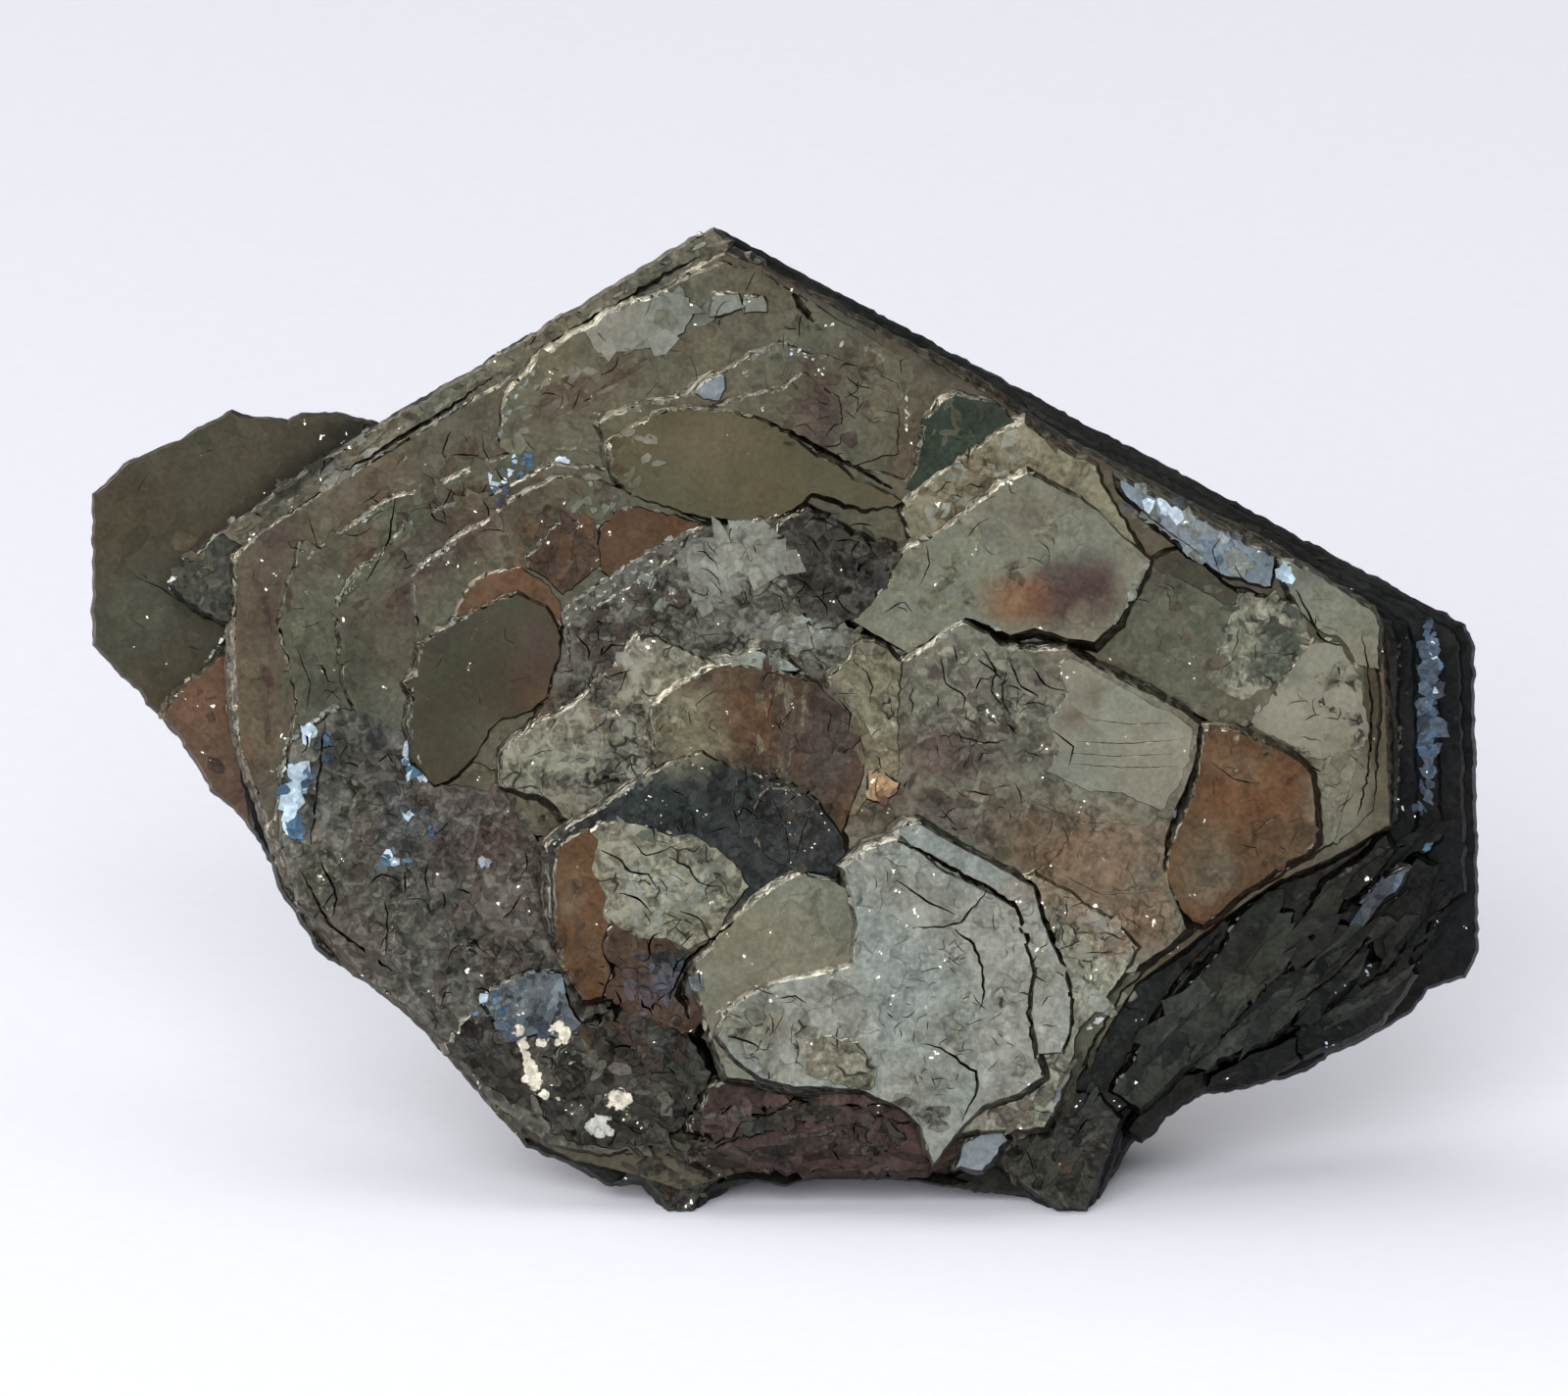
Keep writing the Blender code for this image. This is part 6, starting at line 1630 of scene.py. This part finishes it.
# tint, centre, half width and half height, turn in degrees, strength; all are the tarnish's own stains but
# one, a painted shadow on the wing
STAINS_AND_SHADOW = (
    ("rust", (16.4, 43.7), (2.8, 1.5), 10, 0.9),
    ("peach", (15.8, 43.9), (1.4, 0.8), 10, 0.35),
    ("violet", (20.8, 44.2), (3, 2.4), 0, 1),
    ("rust", (21.4, 24), (5.4, 3.8), 20, 0.5),
    ("rust", (25, 20.2), (3, 2.2), 30, 0.45),
    ("hexagon", (17.4, 26.4), (3.4, 2.6), 0, 0.5),
    ("violet", (11.5, 32.6), (4.4, 1.6), -8, 0.6),
    ("hexagon", (21.2, 35.9), (2, 0.6), 20, 0.8),
    ("violet", (11, 28.4), (4, 1.6), -16, 0.4),
    ("band", (-7.2, 34.4), (2.9, 3.4), 0, 0.9),
    ("copper", (-3, 35.2), (1.6, 2), 0, 0.8),
    ("plum", (2.8, 33.2), (2.4, 3.8), 0, 0.95),
    ("violet", (2.4, 57), (1.8, 2.6), 0, 0.7),
    ("violet", (-17.4, 38.6), (1.1, 3), 0, 0.5),
    # painted shadow: the wing's upper part beside the rim, darkened as if shaded
    ("rim_edge", (-34.2, 53.4), (4.6, 1.3), 38, 0.85),
    ("violet", (-37.4, 44), (1.2, 3.6), 0, 0.45),
    ("violet", (-37.8, 30.6), (1.6, 1.6), 0, 0.4),
    ("brown", (-28.4, 41.4), (2, 3.6), 0, 0.4),
    ("violet", (-23.6, 47.8), (3.4, 1.6), 36, 0.6),
    ("violet", (-19.6, 50.4), (2.6, 1.4), 30, 0.55),
    ("oval", (-30.6, 39), (1.6, 3), 0, 0.5),
    ("brown", (-33.6, 46), (2.4, 1.4), 30, 0.35),
    ("slate", (-30.6, 32.4), (3, 2.6), 0, 0.45),
    ("pale", (-32.4, 28), (1.6, 2.6), 0, 0.3),
    ("violet", (-22, 25.6), (4, 1.6), 10, 0.6),
    ("teal", (35, 39.4), (1.6, 1.8), 0, 0.7),
    ("brown", (3.6, 60.2), (3, 2), 20, 0.4),
    ("band", (-5, 20), (1.8, 2), 0, 0.4),
    ("brown", (-15.6, 57.6), (4.6, 1.2), 28, 0.45),
    ("rim_edge", (13.2, 56.8), (1.6, 0.8), 20, 0.3),
    ("pale", (-3.8, 46), (3.4, 2.4), 20, 0.35),
    ("pale", (1.6, 41), (3.8, 1.1), -8, 0.5),
    ("dark_rough", (-13.6, 39), (2, 3.8), 0, 0.5),
    ("brown", (5, 27.6), (0.9, 0.8), 0, 0.8),
    ("brown", (7, 27.6), (0.9, 0.7), 0, 0.8),
    ("band", (29.6, 24.4), (1.6, 2.6), -30, 0.35),
    ("band", (32.4, 31.4), (2.6, 0.9), -30, 0.4),
    ("face", (36.4, 26.4), (1.6, 2.6), 20, 0.3),
    ("sage", (-15.6, 22.4), (0.8, 1.6), 0, 0.3),
    ("violet", (-10, 15.4), (1.6, 1.6), 0, 0.6),
    ("slate_blue", (-8.2, 16.2), (1.4, 1.4), 0, 0.5),
    ("copper", (14.6, 7.4), (1.6, 0.8), 20, 0.5),
    ("sage", (-2.6, 13.2), (2.2, 1.6), 0, 0.75),
    ("band", (11.4, 12.6), (2.4, 2), 0, 0.3),
    ("sage_light", (9.2, 22.6), (3.4, 2), -20, 0.4),
    ("violet", (17.4, 49.4), (1.4, 1), 0, 0.3),
    ("terrace", (-21.6, 34), (1.4, 2), 0, 0.35),
    ("hexagon", (-17.6, 36.6), (0.8, 2.2), -10, 0.5),
    ("brown", (-45, 52), (3, 1.6), 30, 0.25),
    ("terrace", (-46, 42.6), (3, 2), -30, 0.35),
    ("violet", (-26.6, 44.4), (1.4, 2.6), -30, 0.45),
    ("brown", (-24, 49.6), (3, 1.2), 34, 0.5),
    ("copper", (-30, 47.6), (2, 1), 40, 0.35),
    ("violet", (-36.2, 48), (2.6, 1.4), 36, 0.5),
    ("slate", (-33.6, 37), (0.8, 1.2), 0, 0.5),
    ("right", (30.4, 23.4), (1.8, 1.6), 40, 0.4),
    ("rust", (33.4, 29.4), (2.8, 2.2), 0, 0.4),
    ("violet", (-31, 19.6), (2.4, 1.6), -40, 0.3),
    ("lens", (-33.6, 24), (1.2, 2.4), 0, 0.4),
    ("toe", (21.3, 55.1), (30, 1.1), -27.9, 0.6),
    ("band", (-5.6, 54.6), (3, 1.8), -20, 0.15),
    ("violet", (-18.4, 39.4), (1.6, 3.4), -20, 0.35),
    ("brown", (-20.4, 37.6), (2.4, 3), -20, 0.3),
    ("oval", (-30, 22), (3, 2), -30, 0.4),
    ("slate_blue", (-27.6, 27.8), (1.8, 1.8), 0, 0.25),
    ("brown", (-20.5, 18.8), (2, 2.6), 0, 0.4),
    ("teal", (-33, 29.5), (1.8, 3.5), 0, 0.3),
    ("violet", (-24.6, 29.6), (2.2, 1.4), 0, 0.5),
    ("crackled", (39.6, 30), (2.2, 4.4), 0, 0.8),
    ("upper", (29, 36.6), (5, 1.4), -26, 0.4),
    ("brown", (-16, 29), (1.6, 1.2), 0, 0.3),
)
STAIN_DEPTH = 4.0                   # stains and the painted shadow lie no deeper than this w
STAIN_REACH = 2.0                   # how many half widths away a stain may still show
STAIN_END = 1.35                    # where a stain ends, in half widths
STAIN_FADE = 0.8                    # over how much of one it fades
# Its outline's waves: how many a millimetre, their reach and their seed.
STAIN_WAVES = ((0.5, 0.45, 5.0), (1.7, 0.3, 8.0))
LIT_FROM = 0.1                      # how much a wall faces the light where it begins to lighten
LIT_RANGE = 0.6                     # and over how much more it gets lightest
LEVEL_FACE = 0.05                   # faces flatter than this count as level
SHARP = math.radians(28.0)          # shading breaks where faces meet at more than this
EDGE_SHARE = 0.65                   # how much of a wall's tint is the edge's, the rest its plate's
DARK_WALL = 0.75                    # how light a dark finish's unlit walls are
CHIP_WALL = 0.6                     # how light a chip's unlit walls are
CHIP_GAIN = 0.75                    # and how much lighter its lit ones
# Wall tints: painted light on walls that face the light, and on the others a dark that is partly the broken
# edges' own and partly painted shade.
PAINTED_LIT_EDGE = np.array(tone(196, 190, 172))
DARK_EDGE = np.array(tone(72, 65, 56))
CHIP_SHARE = 0.6                    # how much of a chip's tint is its own, the rest its host's
# How much lighter the walls of the dark finishes are where they face the light, and how much
# those of other finishes are held back there.
DARK_EDGES = {"rim": 1.2, "rim_edge": 1.2, "slope": 1.2, "slope_light": 1.2, "toe": 1.2,
              "back": -0.5, "back_dark": -0.5}
MUTED_EDGES = {"face": 0.4, "druse": 0.35, "white": 0.6, "oval": 0.5, "slate": 0.7, "wing": 0.15,
               "ledge": 0.3, "band_side": 0.4, "upper": 0.65, "terrace": 0.7, "band": 0.8}


def stain_strength(stain, u, v):
    """Return how strongly a stain covers a face place, with a wavering outline."""
    _, centre, half, turn, strength = stain
    angle = math.radians(turn)
    across = (u - centre[0]) * math.cos(angle) + (v - centre[1]) * math.sin(angle)
    along = (v - centre[1]) * math.cos(angle) - (u - centre[0]) * math.sin(angle)
    waver = sum(reach * noise.noise(Vector((u * waves, v * waves, seed)))
                for waves, reach, seed in STAIN_WAVES)
    reach = math.hypot(across / half[0], along / half[1]) + waver
    amount = min(max((STAIN_END - reach) / STAIN_FADE, 0.0), 1.0)
    return strength * amount * amount * (3 - 2 * amount)


def stain_and_shadow_layers(places):
    """Return, for each place, what is left of the plate's own tint and what the stains and the painted
    shadow add.
    """
    kept = np.ones(len(places))
    added = np.zeros((len(places), 3))
    for stain in STAINS_AND_SHADOW:
        reach = max(stain[2]) * STAIN_REACH
        close = (np.abs(places[:, :2] - stain[1]) < reach).all(1)
        near = np.flatnonzero(close & (places[:, 2] > STAIN_DEPTH))
        amounts = np.array([stain_strength(stain, u, v) for u, v in places[near, :2]])
        if len(near):
            kept[near] *= 1.0 - amounts
            added[near] *= (1.0 - amounts)[:, None]
            added[near] += amounts[:, None] * FINISHES[stain[0]][0]
    return kept, added


def by_finish(table, otherwise):
    """Return a table's value for each finish, or another where it has none."""
    return np.array([table.get(name, otherwise) for name in FINISH_NAMES])


def kind_parts(kinds):
    """Return each face's finish, its host's, its shade, and whether it's a wall or a grain's."""
    shade = kinds // FIELD ** 2 % FIELD * SHADE_TOP / (FIELD - 1)
    sort = kinds // FIELD ** 3
    return kinds % FIELD, kinds // FIELD % FIELD, shade, sort % 2 == 1, sort > 1


def own_tints(kinds, normals):
    """Return each face's tint before the stains, walls lighter where they face the light."""
    finish, host, shade, wall, grainy = kind_parts(kinds)
    tints = np.array([FINISHES[name][0] for name in FINISH_NAMES])
    dark = by_finish(dict.fromkeys(DARK_EDGES, True), False)[finish]
    gain = by_finish(DARK_EDGES, 0.0)[finish]
    flat = normals[:, :2]
    length = np.hypot(*flat.T)
    toward = flat @ np.array(LIGHT_SIDE) / np.maximum(length, 1e-6)
    lit = np.clip((toward - LIT_FROM) / LIT_RANGE, 0.0, 1.0) * (length > LEVEL_FACE)
    lit = lit * by_finish(MUTED_EDGES, 1.0)[finish]
    mixed = tints[finish] * CHIP_SHARE + tints[host] * (1.0 - CHIP_SHARE)
    edge = DARK_EDGE + (PAINTED_LIT_EDGE - DARK_EDGE) * lit[:, None]
    edge = edge * EDGE_SHARE + tints[finish] * (1.0 - EDGE_SHARE)
    edge = np.where(dark[:, None], tints[finish] * (DARK_WALL + gain * lit)[:, None], edge)
    chipped = mixed * (CHIP_WALL + CHIP_GAIN * lit[:, None])
    walls = np.where(grainy[:, None], chipped, edge)
    return np.where(wall[:, None], walls, mixed) * shade[:, None]


def colour_group(body):
    """Write each face's tint and texture weights, and give tops and edges their finishes."""
    mesh = body.data
    to_face = FACE.inverted()
    turn = np.array(to_face.to_3x3())
    places = (values_of(mesh.vertices, "co", 3) @ turn.T + np.array(to_face.translation)) / MM
    normals = values_of(mesh.polygons, "normal", 3) @ turn.T
    kinds = values_of(mesh.attributes["kind"].data, "value", 1, np.int32)
    corners = values_of(mesh.polygons, "loop_total", 1, np.int32)
    vertex = values_of(mesh.loops, "vertex_index", 1, np.int32)
    finish, _, shade, wall, grainy = kind_parts(kinds)
    weights = np.array([FINISHES[name][1:] + (0.0,) for name in FINISH_NAMES])[finish]
    own = own_tints(kinds, normals)

    kept, added = stain_and_shadow_layers(places)
    # tops take the stains and the painted shadow
    stained_and_shaded = ~wall & (weights[:, 0] > 0.0)
    loop_face = np.repeat(np.arange(len(corners)), corners)
    keep = np.where(stained_and_shaded[loop_face], kept[vertex], 1.0)
    add = added[vertex] * stained_and_shaded[loop_face][:, None] * shade[loop_face][:, None]
    colours = np.ones((len(vertex), 4), np.float32)
    colours[:, :3] = own[loop_face] * keep[:, None] + add

    mesh.attributes.new("tint", "FLOAT_COLOR", "CORNER").data.foreach_set("color", colours.ravel())
    texture = mesh.attributes.new("texture", "FLOAT_VECTOR", "FACE").data
    texture.foreach_set("vector", weights.astype(np.float32).ravel())
    depth = mesh.attributes.new("face_depth", "FLOAT", "POINT").data
    depth.foreach_set("value", (places[:, 2] * MM).astype(np.float32))
    mesh.materials.clear()
    mesh.materials.append(plate_finish())
    mesh.materials.append(edge_finish())
    mesh.polygons.foreach_set("material_index", (wall & ~grainy).astype(np.int32))
    mesh.shade_smooth()
    mesh.set_sharp_from_angle(angle=SHARP)


# ---------------------------------------------------------------- crumbs

# Each crumb: the places and radii of the lumps that make it.
CRUMBS = {
    "crumb_streak": ((-19.2, 12.7, 0.46), (-19.0, 12.2, 0.36), (-18.8, 11.6, 0.42), (-18.6, 11.0, 0.32),
                     (-18.4, 10.4, 0.40), (-18.2, 9.8, 0.50), (-17.9, 9.2, 0.62), (-17.6, 8.7, 0.50),
                     (-17.3, 8.2, 0.36), (-18.5, 9.3, 0.34)),
    "crumb_ring": ((-17.5, 11.8, 0.36), (-17.3, 12.3, 0.40), (-16.9, 12.8, 0.34), (-16.3, 13.0, 0.42),
                   (-15.9, 12.6, 0.44), (-15.8, 12.1, 0.34), (-16.3, 11.8, 0.30)),
    "crumb_bright": ((-12.6, 7.7, 0.50), (-12.1, 8.0, 0.62), (-11.6, 7.8, 0.60), (-11.9, 7.5, 0.50)),
    "crumb_grey": ((-13.9, 5.8, 0.48), (-13.4, 6.2, 0.58), (-12.9, 6.1, 0.52), (-12.7, 5.7, 0.44),
                   (-13.3, 5.6, 0.46)),
}
LUMP_LIFT = 0.12                    # lumps stand clear of the grains round them
LUMP_FLAT = 0.4                     # their height, as a share of their width
LUMP_RISE = 0.2                     # how far their middles stand out, as a share of their radius
LUMP_WAVES = 3.4                    # of their surface, waves a millimetre
LUMP_UNEVEN = 0.6                   # how deep those are, as a share of the lump's radius
CREAM = ((0.075, 0.068, 0.052, 1.0), (0.235, 0.218, 0.178, 1.0))
GREY = ((0.055, 0.055, 0.048, 1.0), (0.150, 0.152, 0.138, 1.0))


def lump(place, radius, stand):
    """Return one rounded, uneven lump as a mesh object's data."""
    shape = bmesh.new()
    bmesh.ops.create_icosphere(shape, subdivisions=3, radius=radius)
    for vertex in shape.verts:
        own = Vector((place[0] * 3.0, place[1] * 3.0, 0.0))
        vertex.co *= 1.0 + LUMP_UNEVEN * noise.noise(vertex.co * LUMP_WAVES + own)
        vertex.co.z *= LUMP_FLAT
        vertex.co += Vector((place[0], place[1], stand + radius * LUMP_RISE + LUMP_LIFT))
    mesh = bpy.data.meshes.new("lump")
    shape.to_mesh(mesh)
    shape.free()
    mesh.transform(FACE @ Matrix.Scale(MM, 4))
    return mesh


def crumb(name, lumps):
    """Make one crumb, its lumps joined and roughened, in place of its part."""
    stands = ground(np.array([(u, v) for u, v, _ in lumps]), FACE_PLATES)
    joined = workshop(name)
    meshes = [lump((u, v), radius, stand) for (u, v, radius), stand in zip(lumps, stands)]
    body = bpy.data.objects.new(name + "_crumb", meshes[0])
    bpy.context.scene.collection.objects.link(body)
    for mesh in meshes[1:]:
        joined.objects.link(bpy.data.objects.new("lump", mesh))
    boolean(body, "UNION", joined)
    body.data.shade_smooth()
    body.data.materials.clear()
    body.data.materials.append(crumb_finish(name, *(GREY if name == "crumb_grey" else CREAM)))
    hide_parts(name)
    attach(body, "root")


# ---------------------------------------------------------------- floor and light

FLOOR_SIZE = 8.0                    # metres
GLOW_WAY = Vector((-0.62, -0.42, 0.66)).normalized()    # where the room is brightest
GLOW = (0.22, 1.15)                 # the room's darkest and brightest
ROOM_WHITE = (0.90, 0.91, 0.96, 1.0)                    # the room as the camera sees it
# Soft boxes: place, target, side, watts, colour. The last isn't mirrored.
LIGHTS = {
    "top light": ((-0.62, -0.25, 2.25), (0.0, 0.0, 0.0), 2.2, 38.0, (1.0, 1.0, 1.0)),
    "left light": ((-2.25, 0.88, 1.25), (0.0, 0.0, 0.04), 1.25, 38.0, (1.0, 0.97, 0.9)),
    "floor fill": ((-0.3, -2.2, 0.7), (0.0, 0.0, 0.0), 1.6, 250.0, (0.98, 0.99, 1.0)),
}


def pale_floor():
    """Lay the paper that it stands on."""
    bpy.ops.mesh.primitive_plane_add(size=FLOOR_SIZE)
    floor = bpy.context.object
    floor.name = "floor"
    floor.data.materials.append(floor_finish())


def studio():
    """Set a white room, darker to the right, with soft boxes above and to the left."""
    world = bpy.data.worlds.new("studio")
    world.use_nodes = True
    bpy.context.scene.world = world
    tree = world.node_tree
    wire = Wire(tree)
    way = wire.node("ShaderNodeTexCoord")
    towards = way.node("ShaderNodeVectorMath", {"operation": "DOT_PRODUCT"},
                       {0: way, 1: GLOW_WAY}, 1)
    glow = towards.between(-0.45, 0.9, *GLOW)
    seen = wire.node("ShaderNodeLightPath")
    shade = wire.node("ShaderNodeCombineXYZ", {}, {0: glow * 0.97, 1: glow, 2: glow * 1.02})
    colour = shade.mix(ROOM_WHITE, seen)
    background = tree.nodes["Background"]
    tree.links.new(colour.socket, background.inputs["Color"])
    bpy.context.scene.view_settings.view_transform = "Standard"
    boxes = [soft_box(name, *light) for name, light in LIGHTS.items()]
    boxes[-1].visible_glossy = False


stand_camera()
studio()
pale_floor()
group = grown_group()
colour_group(group)
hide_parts("hematite")
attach(group, "root")
for crumb_name, crumb_lumps in CRUMBS.items():
    crumb(crumb_name, crumb_lumps)
